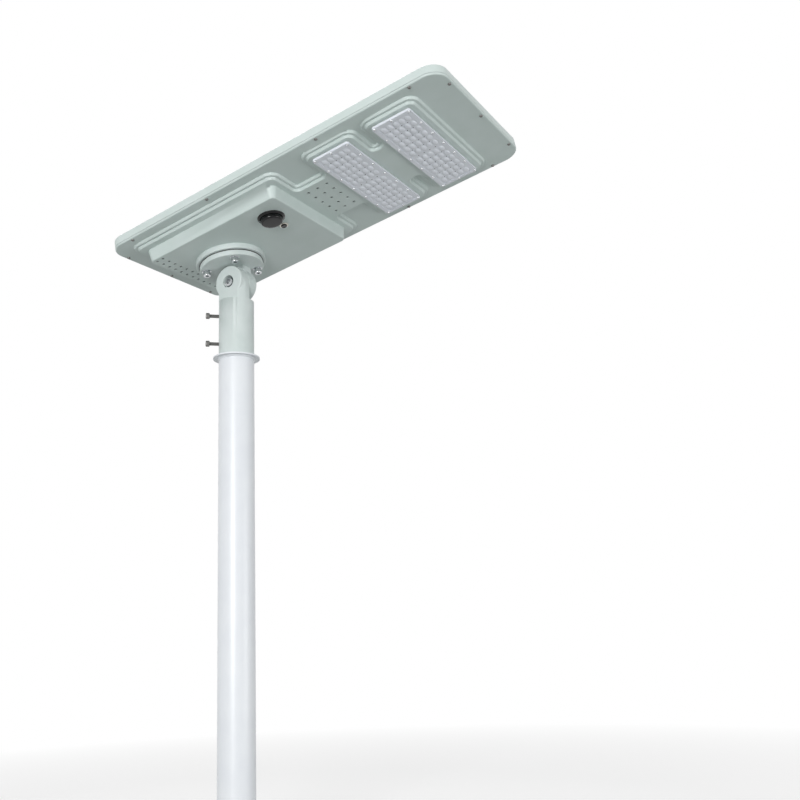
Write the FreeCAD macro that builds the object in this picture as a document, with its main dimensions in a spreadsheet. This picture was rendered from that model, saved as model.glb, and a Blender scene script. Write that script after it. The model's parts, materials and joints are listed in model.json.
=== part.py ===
import FreeCAD, Part
import math
import os
import re

# Solar street lamp: a flat head with a photovoltaic panel on top and two LED modules
# underneath, on a toothed tilt hinge and a sleeve that slips over the spigot of a pole.
# Millimetres, +Z up, origin on the pole's axis at its lower end. The LED end of the head
# points to -Y and the side with the motion sensor faces -X.

Vec = FreeCAD.Vector
Placement = FreeCAD.Placement
Rotation = FreeCAD.Rotation
UP, ACROSS = Vec(0, 0, 1), Vec(1, 0, 0)
ORIGIN = ("0", "0", "0")

doc = FreeCAD.newDocument("SolarStreetLamp")
sheet = doc.addObject("Spreadsheet::Sheet", "Sizes")

SIZES = {
    # pole top section
    "pole_od": 76, "pole_wall": 3, "pole_length": 1000, "joint_bore": 71, "joint_depth": 150,
    "collar_od": 100, "collar_t": 3, "spigot_od": 60, "spigot_wall": 4, "spigot_drop": 60,
    # sleeve and its hinge ear, measured down from the hinge axis
    "sleeve_od": 76, "sleeve_bore": 62, "sleeve_reach": 168, "sleeve_shoulder": 41, "sleeve_roof": 10,
    "ear_radius": 36, "ear_t": 28, "ear_round": 3, "counterbore_od": 28, "counterbore_depth": 14,
    "setscrew_od": 8, "setscrew_length": 27.6, "setscrew_head_od": 13, "setscrew_head_t": 8,
    "setscrew_first": 75, "setscrew_pitch": 63, "setscrew_angle": 45,
    # toothed hinge
    "hinge_od": 14, "hinge_head_od": 21, "hinge_head_t": 12, "hinge_nut_t": 12, "hinge_washer_t": 2,
    "hinge_washer_od": 27, "tooth_count": 36, "tooth_depth": 1.2, "tooth_inner": 18, "tooth_outer": 32,
    "lug_radius": 36.5, "lug_t": 26, "lug_neck": 50, "tilt_angle": 10.3,
    # flange, gasket and pad under the head
    "hinge_drop": 40, "flange_back": 5, "flange_od": 140, "flange_t": 11, "flange_round": 2,
    "flange_bolt_pitch": 80,
    "gasket_od": 142, "gasket_t": 1.5, "pad_od": 154, "pad_t": 11.5, "bolt_od": 10, "bolt_head_od": 16,
    "bolt_head_t": 10, "washer_od": 20, "washer_t": 2, "nut_t": 8, "backing_side": 120, "backing_t": 4,
    # head outline
    "head_length": 832, "head_width": 375, "head_corner": 38, "flange_setback": 180,
    "hinge_setback": "=flange_setback + flange_back",
    # bottom cover
    "rim_t": 4, "rim_round": 3.2, "rim_band": 14, "cover_wall": 2, "step_depth": 5, "step_width": 8.5,
    "step_round": 2, "step_draft": 3, "deck_margin": 35, "deck_tail_margin": 49, "deck_corner": 14,
    "pocket_corner": 15, "neck_half": 70, "box_lead": 12, "box_depth": 26, "box_start": 59, "box_end": 410,
    "box_margin": 50, "box_half": "=head_width / 2 - box_margin", "box_corner": 16, "box_draft": 5.5,
    "box_round": 3, "vent_od": 6.5, "vent_pitch_across": 25.6, "vent_pitch_along": 23.5,
    "vent_columns": 5, "tail_vent_count": 14, "tail_vent_margin": 16,
    "tail_vent_pitch": "=2 * (box_half - tail_vent_margin) / (tail_vent_count - 1)",
    "tail_vent_first": 76, "tail_vent_rows_pitch": 16, "screen_t": 0.6, "screen_lap": 0.6,
    # frame around the panel
    "seal_t": 0.8, "frame_h": 17.2, "frame_wall": 3, "lip_t": 2.5, "border_side": 17, "border_end": 23.6,
    "opening_corner": 6, "frame_round": 1.5, "edge_inset": 7, "boss_od": 10, "boss_gap": 0.5,
    "edge_screw_od": 4, "edge_screw_head_od": 7, "edge_screw_head_t": 2.2, "edge_screw_length": 12,
    "edge_first": 67, "edge_second": 276, "edge_third": "=head_length - 279",
    "edge_fourth": "=head_length - edge_first", "edge_end_pitch": "=head_width / 2.8",
    # photovoltaic panel
    "glass_lap": 6, "glass_seal_t": 0.8, "glass_t": 3.2, "ribbon_t": 0.3, "ribbon_w": 1.4, "cell_t": 0.4,
    "cell_margin": 12.25, "cell_column_gap": 3, "cell_bars": 5,
    "cell_width": "=head_width / 2 - border_side - cell_margin - cell_column_gap / 2",
    "cell_depth": 39.2, "cell_row_pitch": 42.7,
    "cell_corner": 7, "backsheet_t": 1, "junction_side": 80, "junction_length": 60, "junction_t": 11,
    # LED modules
    "module_margin": 42.75, "module_length": "=head_width - 2 * module_margin",
    "module_width": 86, "module_corner": 5, "module_from_tip": 134, "module_pitch": 140,
    "deck_length": 107, "board_t": 1.6, "board_length": "=module_length - 17.5", "board_width": 69,
    "led_seal_t": 1.5, "lens_t": 4, "lens_cavity": 2.2, "chip_side": 5, "chip_t": 0.9,
    "lens_columns": 12, "lens_rows": 5, "lens_end": 11.15, "lens_rib": 8,
    "lens_pitch_across": "=(module_length - 2 * lens_end - lens_rib) / lens_columns",
    "lens_pitch_along": 13.2, "lens_radius": 5.4, "lens_rise": 1.8,
    "lens_screw_od": 3, "lens_screw_head_od": 5.6, "lens_screw_head_t": 1.8, "lens_screw_length": 8,
    "lens_screw_inset": 4.3, "lens_screw_pitch": "=(module_length - 2 * lens_screw_inset) / 6",
    # motion sensor
    "sensor_along": 352.5, "sensor_offset": "=0.53 * box_half", "sensor_od": 58,
    "sensor_bezel_t": 4, "sensor_dome_od": 47,
    "sensor_rise": 9, "sensor_hole_od": 49, "sensor_dome_wall": 1.5, "sensor_dome_round": 4,
    # push switch
    "switch_along": 352, "switch_offset": "=sensor_offset - 44.5", "switch_od": 16,
    "switch_lip_od": 19, "switch_lip_t": 2,
    "switch_length": 22, "button_od": 12, "button_proud": 2.5, "button_travel": 1.5, "button_depth": 6,
    "switch_nut_t": 4,
    # battery
    "tray_lift": 16, "tray_wall": 2, "tray_height": 27, "tray_leg_od": 10, "tray_side_gap": 10,
    "battery_start": 104, "battery_od": 26.2, "battery_length": 65.5, "battery_rows": 8, "battery_gap": 0.8,
    "battery_room": "=2 * (box_half - box_draft - cover_wall - tray_side_gap)",
    "battery_columns": "=floor(battery_room / (battery_length + battery_gap))",
    "strap_w": 20, "strap_t": 0.8, "strap_inset": 0.25,
    # charge controller
    "controller_length": 48, "controller_t": 22, "controller_start": 24, "controller_edge": 17.5,
    "controller_width": "=box_half - controller_edge - controller_start",
    "controller_offset": "=controller_start + controller_width / 2",
    "controller_centre": 374, "controller_wall": 2, "post_od": 7, "post_t": 5, "small_board_t": 1.6,
    # wiring
    "wire_od": 3, "wire_bend": 8, "wire_lane": 10,
    # cap screws, as shares of the head's diameter and height
    "screw_round": 0.12, "screw_recess": 0.5,
    # clearances
    "running_gap": 0.05, "seat_gap": 0.3, "tooth_gap": 0.3, "face_gap": 0.1, "slot_gap": 0.5,
}
for row, (alias, value) in enumerate(SIZES.items(), start=1):
    sheet.set(f"A{row}", alias)
    sheet.set(f"B{row}", str(value))
    sheet.setAlias(f"B{row}", alias)
doc.recompute()


def full(expression):
    """The expression with every size written as a cell of the sheet."""
    return re.sub(r"\b([a-z]+_[a-z_]+)\b", r"Sizes.\1", expression)


def mm(expression):
    """The value of an expression of sizes."""
    return float(sheet.evalExpression(full(expression)))


def bind(item, **properties):
    for name, expression in properties.items():
        item.setExpression(name, full(expression))


# Middle of the neck between the battery box and the LED modules, from the bracket end
NECK = "((box_end + box_lead + head_length - module_from_tip - module_pitch - deck_length / 2) / 2)"

# Heights above the hinge axis, in the head's own frame, from the hinge up to the panel
Z_FLANGE = "hinge_drop"
Z_GASKET = f"({Z_FLANGE} + flange_t)"
Z_PAD = f"({Z_GASKET} + gasket_t)"
Z_FACE = f"({Z_PAD} + pad_t)"
Z_DECK = f"({Z_FACE} + box_depth)"
Z_STEP = f"({Z_DECK} + step_depth)"
Z_RIM = f"({Z_STEP} + step_depth)"
Z_SEAM = f"({Z_RIM} + rim_t)"
Z_FRAME = f"({Z_SEAM} + seal_t)"
Z_TOP = f"({Z_FRAME} + frame_h)"
Z_LIP = f"({Z_TOP} - lip_t)"
Z_GLASS = f"({Z_LIP} - glass_seal_t - glass_t)"
Z_RIBBON = f"({Z_GLASS} - ribbon_t)"
Z_CELL = f"({Z_RIBBON} - cell_t)"
Z_BACK = f"({Z_CELL} - backsheet_t)"
Z_INSIDE = f"({Z_FACE} + cover_wall)"
Z_TRAY = f"({Z_INSIDE} + tray_lift)"
Z_LENS = f"({Z_DECK} - led_seal_t - lens_t)"

# Heights in the pole's and the arm's own frames
HINGE_HEIGHT = "(pole_length + collar_t + seat_gap + sleeve_reach)"
BORE_TOP = "(-sleeve_shoulder - sleeve_roof)"

POLE = Placement()
ARM = Placement(Vec(0, 0, mm(HINGE_HEIGHT)), Rotation())
HEAD = Placement(Vec(0, 0, mm(HINGE_HEIGHT)), Rotation(ACROSS, -mm("tilt_angle")))

pieces = []


def along(distance):
    """Y in the head's frame of a distance measured from the head's bracket end."""
    return f"(hinge_setback - ({distance}))"


def place(item, at, axis):
    item.Placement = Placement(Vec(), Rotation(UP, axis))
    for letter, expression in zip("xyz", at):
        item.setExpression("Placement.Base." + letter, full(expression))
    return item


def cylinder(name, radius, height, at=ORIGIN, axis=UP):
    item = doc.addObject("Part::Cylinder", name)
    bind(item, Radius=radius, Height=height)
    return place(item, at, axis)


def box(name, across, deep, tall, at):
    """Box centred on at in X and Y, standing on at's Z."""
    item = doc.addObject("Part::Box", name)
    bind(item, Length=across, Width=deep, Height=tall)
    corner = (f"{at[0]} - ({across}) / 2", f"{at[1]} - ({deep}) / 2", at[2])
    return place(item, corner, UP)


def join(name, items):
    item = doc.addObject("Part::MultiFuse", name)
    item.Shapes = items
    return item


def cut(name, base, tools):
    item = doc.addObject("Part::Cut", name)
    item.Base = base
    item.Tool = tools[0] if len(tools) == 1 else join(name + "_tools", tools)
    return item


def piece(label, item, frame):
    """Register a finished sub-part under the name of its file."""
    if item.TypeId in ("Part::Cylinder", "Part::Box"):
        holder = doc.addObject("Part::Compound", label + "_group")
        holder.Links = [item]
        item = holder
    item.Label = label
    item.Placement = frame.multiply(item.Placement)
    pieces.append(item)


def feature(label, shape, frame):
    """Register a sub-part whose shape is worked out from the sheet."""
    item = doc.addObject("Part::Feature", label + "_shape")
    item.Shape = shape
    piece(label, item, frame)


def group(label, shapes, frame):
    feature(label, Part.makeCompound(shapes), frame)


def rounded_wire(corners, height):
    """Closed wire through corners (x, y, radius), each corner turned by a tangent arc."""
    points = [Vec(x, y, height) for x, y, _ in corners]
    stops = []
    for index, (_, _, radius) in enumerate(corners):
        corner = points[index]
        before = (corner - points[index - 1]).normalize()
        after = (points[(index + 1) % len(points)] - corner).normalize()
        half_turn = before.getAngle(after) / 2
        trim = radius * math.tan(half_turn)
        inward = (after - before).normalize()
        middle = corner + inward * (radius / math.cos(half_turn) - radius)
        stops.append((corner - before * trim, middle, corner + after * trim))
    edges = []
    for index, (start, middle, end) in enumerate(stops):
        edges.append(Part.Arc(start, middle, end).toShape())
        edges.append(Part.makeLine(end, stops[(index + 1) % len(stops)][0]))
    return Part.Wire(edges)


def rounded_rectangle(half_across, low, high, radius, height):
    """Rounded rectangle centred on X = 0, from Y = low to Y = high."""
    return rounded_wire([(half_across, low, radius), (half_across, high, radius),
                         (-half_across, high, radius), (-half_across, low, radius)], height)


def prism(wire, rise):
    return Part.Face(wire).extrude(Vec(0, 0, rise))


def slab(across, deep, tall, x, y, z):
    """Plain block centred on x and y, standing on z."""
    return Part.makeBox(across, deep, tall, Vec(x - across / 2, y - deep / 2, z))


def round_end(solid, height, radius):
    """Round the edges of a solid's flat end at the given height."""
    edges = [edge for edge in solid.Edges
             if abs(edge.BoundBox.ZMin - height) < 1e-4 and abs(edge.BoundBox.ZMax - height) < 1e-4]
    return solid.makeFillet(radius, edges)


def hexagon(flats, thickness, at, axis):
    radius = flats / 2 / math.cos(math.pi / 6)
    turns = [k * math.pi / 3 for k in range(7)]
    corners = [Vec(radius * math.cos(turn), radius * math.sin(turn), 0) for turn in turns]
    nut = Part.Face(Part.makePolygon(corners)).extrude(Vec(0, 0, thickness))
    nut.Placement = Placement(at, Rotation(UP, axis))
    return nut


def socket_screw(shank_od, length, head_od, head_t, at, axis):
    """Cap screw with its head's seat at the point at, its shank along axis and its head behind."""
    head = Part.makeCylinder(head_od / 2, head_t, Vec(0, 0, -head_t))
    head = round_end(head, -head_t, head_t * mm("screw_round"))
    shank = Part.makeCylinder(shank_od / 2, length)
    recess = mm("screw_recess")
    recess = hexagon(head_od * recess, head_t * recess, Vec(0, 0, -head_t), UP)
    screw = head.fuse(shank).removeSplitter().cut(recess)
    screw.Placement = Placement(at, Rotation(UP, axis))
    return screw


def ring(outer, inner, thickness, at, axis=UP):
    """Flat washer from outer and inner diameters."""
    disc = Part.makeCylinder(outer / 2, thickness, at, axis)
    return disc.cut(Part.makeCylinder(inner / 2, thickness, at, axis))


# --- Pole: tube with a socket below, welded collar and spigot above ------------------------

def make_pole():
    tube = cylinder("pole_outside", "pole_od / 2", "pole_length")
    bore = cylinder("pole_bore", "pole_od / 2 - pole_wall", "pole_length")
    socket = cylinder("pole_joint", "joint_bore / 2", "joint_depth")
    piece("pole_tube", cut("pole_wall_tube", tube, [bore, socket]), POLE)

    collar = cylinder("collar_disc", "collar_od / 2", "collar_t", ("0", "0", "pole_length"))
    hole = cylinder("collar_hole", "spigot_od / 2 + running_gap", "collar_t", ("0", "0", "pole_length"))
    piece("pole_collar", cut("collar_ring", collar, [hole]), POLE)

    start = ("0", "0", "pole_length - spigot_drop")
    rise = f"spigot_drop + collar_t + seat_gap + sleeve_reach + {BORE_TOP} - slot_gap"
    outside = cylinder("spigot_outside", "spigot_od / 2", rise, start)
    inside = cylinder("spigot_inside", "spigot_od / 2 - spigot_wall", rise, start)
    piece("pole_spigot", cut("spigot_tube", outside, [inside]), POLE)


# --- Arm: sleeve with toothed ear, set screws and the hinge bolt ---------------------------

def tooth_grooves(face_x, side):
    """V grooves between radial teeth on a face at X = face_x, cut towards side."""
    depth = mm("tooth_depth")
    count = int(mm("tooth_count"))
    inner, outer = mm("tooth_inner"), mm("tooth_outer")
    half = math.pi * outer / count
    x = face_x - side * depth * 0.1
    profile = Part.makePolygon([Vec(x, outer, -half), Vec(x, outer, half),
                                Vec(face_x + side * depth, outer, 0), Vec(x, outer, -half)])
    groove = Part.Face(profile).extrude(Vec(0, inner - outer, 0))
    grooves = []
    for index in range(count):
        turned = groove.copy()
        turned.rotate(Vec(), ACROSS, index * 360 / count)
        grooves.append(turned)
    return grooves


def make_arm():
    gap = mm("tooth_gap") / 2
    radius, ear_t = mm("ear_radius"), mm("ear_t")
    shoulder, reach = mm("sleeve_shoulder"), mm("sleeve_reach")
    sleeve_r = mm("sleeve_od / 2")
    sleeve = Part.makeCylinder(sleeve_r, reach - shoulder, Vec(0, 0, -reach))
    ear = Part.makeCylinder(radius, ear_t - gap, Vec(-ear_t, 0, 0), ACROSS)
    rim = [edge for edge in ear.Edges if abs(edge.BoundBox.XMax + ear_t) < 1e-4]
    ear = ear.makeFillet(mm("ear_round"), rim)
    column = Part.makeCylinder(sleeve_r, shoulder, Vec(0, 0, -shoulder))
    half = Part.makeBox(ear_t - gap, radius * 2, shoulder, Vec(-ear_t, -radius, -shoulder))
    body = sleeve.fuse([ear, column.common(half)]).removeSplitter()
    tools = [Part.makeCylinder(mm("sleeve_bore / 2"), reach + mm(BORE_TOP), Vec(0, 0, -reach)),
             Part.makeCylinder(mm("hinge_od / 2 + running_gap"), ear_t, Vec(-ear_t, 0, 0), ACROSS),
             Part.makeCylinder(mm("counterbore_od / 2"), mm("counterbore_depth"), Vec(-ear_t, 0, 0), ACROSS)]
    screw_hole = mm("setscrew_od / 2 + running_gap")
    for height, direction in set_screw_seats():
        tools.append(Part.makeCylinder(screw_hole, sleeve_r, Vec(0, 0, height), direction))
    body = body.cut(tools).cut(tooth_grooves(-gap, -1))
    feature("pole_sleeve", body, ARM)

    tip = mm("spigot_od / 2 + seat_gap")
    screws = []
    for height, direction in set_screw_seats():
        seat = Vec(0, 0, height) + direction * (tip + mm("setscrew_length"))
        screws.append(socket_screw(mm("setscrew_od"), mm("setscrew_length"), mm("setscrew_head_od"),
                                   mm("setscrew_head_t"), seat, direction * -1))
    group("set_screws", screws, ARM)


def set_screw_seats():
    """Height and outward direction of each set screw, two rows of two at the sleeve's back."""
    seats = []
    for row in range(2):
        for side in (-1, 1):
            turn = math.radians(side * mm("setscrew_angle"))
            height = -mm("setscrew_first") - row * mm("setscrew_pitch")
            seats.append((height, Vec(math.sin(turn), math.cos(turn), 0)))
    return seats


def make_hinge_fasteners():
    seat = -mm("ear_t") + mm("counterbore_depth") - mm("hinge_washer_t")
    far = mm("lug_t + face_gap")
    washer_t, nut_t = mm("hinge_washer_t"), mm("hinge_nut_t")
    length = far + washer_t + nut_t + mm("tooth_depth") - seat
    bolt = socket_screw(mm("hinge_od"), length, mm("hinge_head_od"), mm("hinge_head_t"),
                        Vec(seat, 0, 0), ACROSS)
    feature("hinge_bolt", bolt, ARM)
    hole = mm("hinge_od + 2 * running_gap")
    washers = [ring(mm("hinge_washer_od"), hole, washer_t, Vec(seat, 0, 0), ACROSS),
               ring(mm("hinge_washer_od"), hole, washer_t, Vec(far, 0, 0), ACROSS)]
    group("hinge_washers", washers, ARM)
    start = Vec(far + washer_t, 0, 0)
    nut = hexagon(mm("hinge_head_od"), nut_t, start, ACROSS)
    feature("hinge_nut", nut.cut(Part.makeCylinder(hole / 2, nut_t, start, ACROSS)), ARM)


# --- Bracket under the head ----------------------------------------------------------------

def bolt_spots(height):
    half, back = mm("flange_bolt_pitch / 2"), mm("flange_back")
    return [Vec(x, back + y, height) for x in (-half, half) for y in (-half, half)]


def bolt_holes(low, high):
    radius = mm("bolt_od / 2 + seat_gap")
    return [Part.makeCylinder(radius, high - low, spot) for spot in bolt_spots(low)]


def make_bracket():
    gap = mm("tooth_gap") / 2
    z, gasket, pad, face = mm(Z_FLANGE), mm(Z_GASKET), mm(Z_PAD), mm(Z_FACE)
    rounding = mm("flange_round")
    back = mm("flange_back")
    disc = Part.makeCylinder(mm("flange_od / 2"), mm("flange_t"), Vec(0, back, z))
    disc = round_end(disc, z, rounding)
    lug_t = mm("lug_t") - gap
    lug = Part.makeCylinder(mm("lug_radius"), lug_t, Vec(gap, 0, 0), ACROSS)
    rim = [edge for edge in lug.Edges if abs(edge.BoundBox.XMin - gap - lug_t) < 1e-4]
    lug = lug.makeFillet(mm("ear_round"), rim)
    neck = Part.makeBox(lug_t, mm("lug_neck"), z + 1, Vec(gap, -mm("lug_neck") / 2, 0))
    flange = disc.fuse([lug, neck]).removeSplitter()
    flange = flange.cut([Part.makeCylinder(mm("hinge_od / 2 + running_gap"), lug_t + gap, Vec(), ACROSS)])
    flange = flange.cut(bolt_holes(z, gasket)).cut(tooth_grooves(gap, 1))
    feature("bracket_flange", flange, HEAD)

    seal = Part.makeCylinder(mm("gasket_od / 2"), mm("gasket_t"), Vec(0, back, gasket))
    feature("flange_gasket", seal.cut(bolt_holes(gasket, pad)), HEAD)
    disc = Part.makeCylinder(mm("pad_od / 2"), mm("pad_t"), Vec(0, back, pad))
    disc = round_end(disc, pad, rounding)
    feature("mounting_pad", disc.cut(bolt_holes(pad, face)), HEAD)

    inside = mm(Z_INSIDE)
    side, plate_t = mm("backing_side"), mm("backing_t")
    plate = slab(side, side, plate_t, 0, back, inside)
    feature("backing_plate", plate.cut(bolt_holes(inside, inside + plate_t)), HEAD)

    washer_t, nut_t, bolt_od = mm("washer_t"), mm("nut_t"), mm("bolt_od")
    hole = bolt_od + mm("2 * running_gap")
    length = inside + plate_t + nut_t + washer_t - z + mm("washer_t")
    bolts, washers, nuts = [], [], []
    for spot in bolt_spots(z - washer_t):
        bolts.append(socket_screw(bolt_od, length, mm("bolt_head_od"), mm("bolt_head_t"), spot, UP))
        washers.append(ring(mm("washer_od"), hole, washer_t, spot))
    for spot in bolt_spots(inside + plate_t):
        nut = hexagon(mm("bolt_head_od"), nut_t, spot, UP)
        nuts.append(nut.cut(Part.makeCylinder(hole / 2, nut_t, spot)))
    group("flange_bolts", bolts, HEAD)
    group("flange_washers", washers, HEAD)
    group("flange_nuts", nuts, HEAD)


# --- Bottom cover: stepped pressing with the battery box -----------------------------------

def module_centres():
    """Y of the two LED modules' centres."""
    first = mm(along("head_length - module_from_tip"))
    return [first, first + mm("module_pitch")]


def deck_outline(grow, height):
    """Outline of the raised deck, widened by grow: two module decks and the box deck joined by necks."""
    half, neck = mm("head_width / 2 - deck_margin") + grow, mm("neck_half") + grow
    outer, inner = mm("deck_corner") + grow, mm("pocket_corner") - grow
    module = mm("deck_length / 2") + grow
    first, second = module_centres()
    box_deck = mm(along("box_end + box_lead")) - grow
    tail = mm(along("deck_tail_margin")) + grow
    right = [(half, first - module, outer), (half, first + module, outer), (neck, first + module, inner),
             (neck, second - module, inner), (half, second - module, outer), (half, second + module, outer),
             (neck, second + module, inner), (neck, box_deck, inner), (half, box_deck, outer),
             (half, tail, outer)]
    left = [(-x, y, radius) for x, y, radius in reversed(right)]
    return rounded_wire(right + left, height)


def deck_solid(grow, low, high):
    """One step of the deck: its wall slants outwards from its face at low to its foot at high."""
    foot = deck_outline(grow + mm("step_draft"), low + mm("step_depth"))
    slanted = Part.makeLoft([deck_outline(grow, low), foot], True, True)
    if high - low - mm("step_depth") < 1e-6:
        return slanted
    return slanted.fuse(prism(foot, high - low - mm("step_depth")))


def head_outline(inset, height):
    low, high = mm(along("head_length")) + inset, mm(along("0")) - inset
    return rounded_rectangle(mm("head_width / 2") - inset, low, high, mm("head_corner") - inset, height)


def box_outline(inset, height):
    low, high = mm(along("box_end")) + inset, mm(along("box_start")) - inset
    return rounded_rectangle(mm("box_half") - inset, low, high, mm("box_corner") - inset, height)


def box_solid(inset, face, base):
    draft = mm("box_draft")
    return Part.makeLoft([box_outline(inset + draft, face), box_outline(inset, base)], True, True)


def evenly(count, pitch):
    """Places of count things a pitch apart, centred on 0."""
    return [(index - (count - 1) / 2) * pitch for index in range(count)]


def vent_spots():
    """Centres of the two groups of breather holes, each as (x, y, height of the skin's face)."""
    deck, face = mm(Z_DECK), mm(Z_FACE)
    pitch, step = mm("vent_pitch_across"), mm("vent_pitch_along")
    spots = []
    for row in (-1, 0, 1):
        y = mm(along(NECK)) + row * step
        spots += [(x, y, deck) for x in evenly(int(mm("vent_columns")), pitch)]
    for row in range(2):
        y = mm(along("tail_vent_first")) - row * mm("tail_vent_rows_pitch")
        spots += [(x, y, face) for x in evenly(int(mm("tail_vent_count")), mm("tail_vent_pitch"))]
    return spots


def edge_screw_spots():
    """X and Y of the fourteen screws around the rim."""
    side = mm("head_width / 2 - edge_inset")
    spots = [(x, mm(along(name))) for x in (-side, side)
             for name in ("edge_first", "edge_second", "edge_third", "edge_fourth")]
    for y in (mm(along("edge_inset")), mm(along("head_length - edge_inset"))):
        spots += [(step * mm("edge_end_pitch"), y) for step in (-1, 0, 1)]
    return spots


def lens_screw_spots(centre):
    """X and Y of the screws round one LED module."""
    pitch = mm("lens_screw_pitch")
    side = mm("module_width / 2 - lens_screw_inset")
    spots = [(step * pitch, centre + edge * side) for edge in (-1, 1) for step in range(-3, 4)]
    end = mm("module_length / 2 - lens_screw_inset")
    return spots + [(-end, centre), (end, centre)]


def cable_holes():
    """X and Y of the hole behind each LED module."""
    card_x = mm("controller_offset - controller_width / 2")
    return [(card_x - (lane + 2) * mm("wire_lane"), centre) for lane, centre in enumerate(module_centres())]


def through(spots, diameter, low, high):
    return [Part.makeCylinder(diameter / 2, high - low, Vec(x, y, low)) for x, y in spots]


def make_bottom_cover():
    wall = mm("cover_wall")
    face, deck, middle, rim, seam = mm(Z_FACE), mm(Z_DECK), mm(Z_STEP), mm(Z_RIM), mm(Z_SEAM)
    rounding = mm("step_round")
    outside = [round_end(prism(head_outline(0, rim), seam - rim), rim, mm("rim_round")),
               round_end(deck_solid(mm("step_width"), middle, rim + wall), middle, rounding),
               round_end(deck_solid(0, deck, middle + wall), deck, rounding),
               round_end(box_solid(0, face, deck), face, mm("box_round")),
               prism(box_outline(0, deck), wall)]
    skin = outside[0].fuse(outside[1:]).removeSplitter()
    inside = [prism(head_outline(mm("rim_band"), rim + wall), seam - rim),
              deck_solid(mm("step_width") - wall, middle + wall, seam),
              deck_solid(-wall, deck + wall, seam),
              box_solid(wall, face + wall, deck + wall),
              prism(box_outline(wall, deck + wall), seam - deck)]
    vent_r = mm("vent_od / 2")
    holes = [Part.makeCylinder(vent_r, 3 * wall, Vec(x, y, z - wall)) for x, y, z in vent_spots()]
    holes += bolt_holes(face, face + wall)
    holes += through(edge_screw_spots(), mm("edge_screw_od + slot_gap"), rim, seam)
    for centre in module_centres():
        holes += through(lens_screw_spots(centre), mm("lens_screw_od + slot_gap"), deck, deck + wall)
    holes += through(cable_holes(), mm("wire_od + 2 * seat_gap"), deck, deck + wall)
    holes += through([sensor_spot()], mm("sensor_hole_od"), face, face + wall)
    holes += through([switch_spot()], mm("switch_od + 2 * running_gap"), face, face + wall)
    feature("bottom_cover", skin.cut(inside).cut(holes), HEAD)

    screen_t = mm("screen_t")
    margin = mm("2 * vent_od")
    wide, deep = mm("(vent_columns - 1) * vent_pitch_across") + margin, mm("2 * vent_pitch_along") + margin
    neck_screen = slab(wide, deep, screen_t, 0, mm(along(NECK)), deck + wall)
    lap = mm("screen_lap * vent_od")
    wide = mm("(tail_vent_count - 1) * tail_vent_pitch") + 2 * lap
    deep = mm("tail_vent_rows_pitch") + 2 * lap
    low = mm(along("tail_vent_first")) - mm("tail_vent_rows_pitch") - lap
    tail_screen = Part.makeBox(wide, deep, screen_t, Vec(-wide / 2, low, face + wall))
    group("vent_screens", [neck_screen, tail_screen], HEAD)


# --- Frame, its seal and the screws that close the head ------------------------------------

def make_top_frame():
    base, lip, top = mm(Z_FRAME), mm(Z_LIP), mm(Z_TOP)
    frame = round_end(prism(head_outline(0, base), top - base), top, mm("frame_round"))
    frame = frame.cut(prism(head_outline(mm("frame_wall"), base), lip - base))
    end = mm("border_end")
    opening = rounded_rectangle(mm("head_width / 2 - border_side"), mm(along("head_length")) + end,
                                mm(along("0")) - end, mm("opening_corner"), lip)
    frame = frame.cut(prism(opening, top - lip))
    boss_top = mm(f"{Z_BACK} - boss_gap")
    bosses = through(edge_screw_spots(), mm("boss_od"), base, boss_top)
    frame = frame.fuse(bosses).removeSplitter()
    depth = mm(f"{Z_RIM} + edge_screw_length + slot_gap")
    frame = frame.cut(through(edge_screw_spots(), mm("edge_screw_od + 2 * running_gap"), base, depth))
    feature("top_frame", frame, HEAD)

    seam = mm(Z_SEAM)
    inset, band = mm("frame_round"), mm("rim_band - frame_round")
    seal = prism(head_outline(inset, seam), base - seam).cut(prism(head_outline(band, seam), base - seam))
    seal = seal.cut(through(edge_screw_spots(), mm("edge_screw_od + slot_gap"), seam, base))
    feature("frame_seal", seal, HEAD)

    rim = mm(Z_RIM)
    screws = [socket_screw(mm("edge_screw_od"), mm("edge_screw_length"), mm("edge_screw_head_od"),
                           mm("edge_screw_head_t"), Vec(x, y, rim), UP) for x, y in edge_screw_spots()]
    group("edge_screws", screws, HEAD)


# --- Photovoltaic panel --------------------------------------------------------------------

def panel_outline(height):
    lap = mm("glass_lap")
    half = mm("head_width / 2 - border_side") + lap
    end = mm("border_end") - lap
    low, high = mm(along("head_length")) + end, mm(along("0")) - end
    return rounded_rectangle(half, low, high, mm("opening_corner"), height)


def cell_outline(x, y, height, cut_low, cut_high):
    """One strip of a cell, with slanted corners where the strip holds the cell's own corners."""
    half, deep, corner = mm("cell_width / 2"), mm("cell_depth / 2"), mm("cell_corner")
    points = [(-half, -deep), (half, -deep)]
    if cut_low:
        points = [(-half, -deep + corner), (-half + corner, -deep),
                  (half - corner, -deep), (half, -deep + corner)]
    high = [(half, deep), (-half, deep)]
    if cut_high:
        high = [(half, deep - corner), (half - corner, deep),
                (-half + corner, deep), (-half, deep - corner)]
    points += high
    points.append(points[0])
    return Part.makePolygon([Vec(x + px, y + py, height) for px, py in points])


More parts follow.
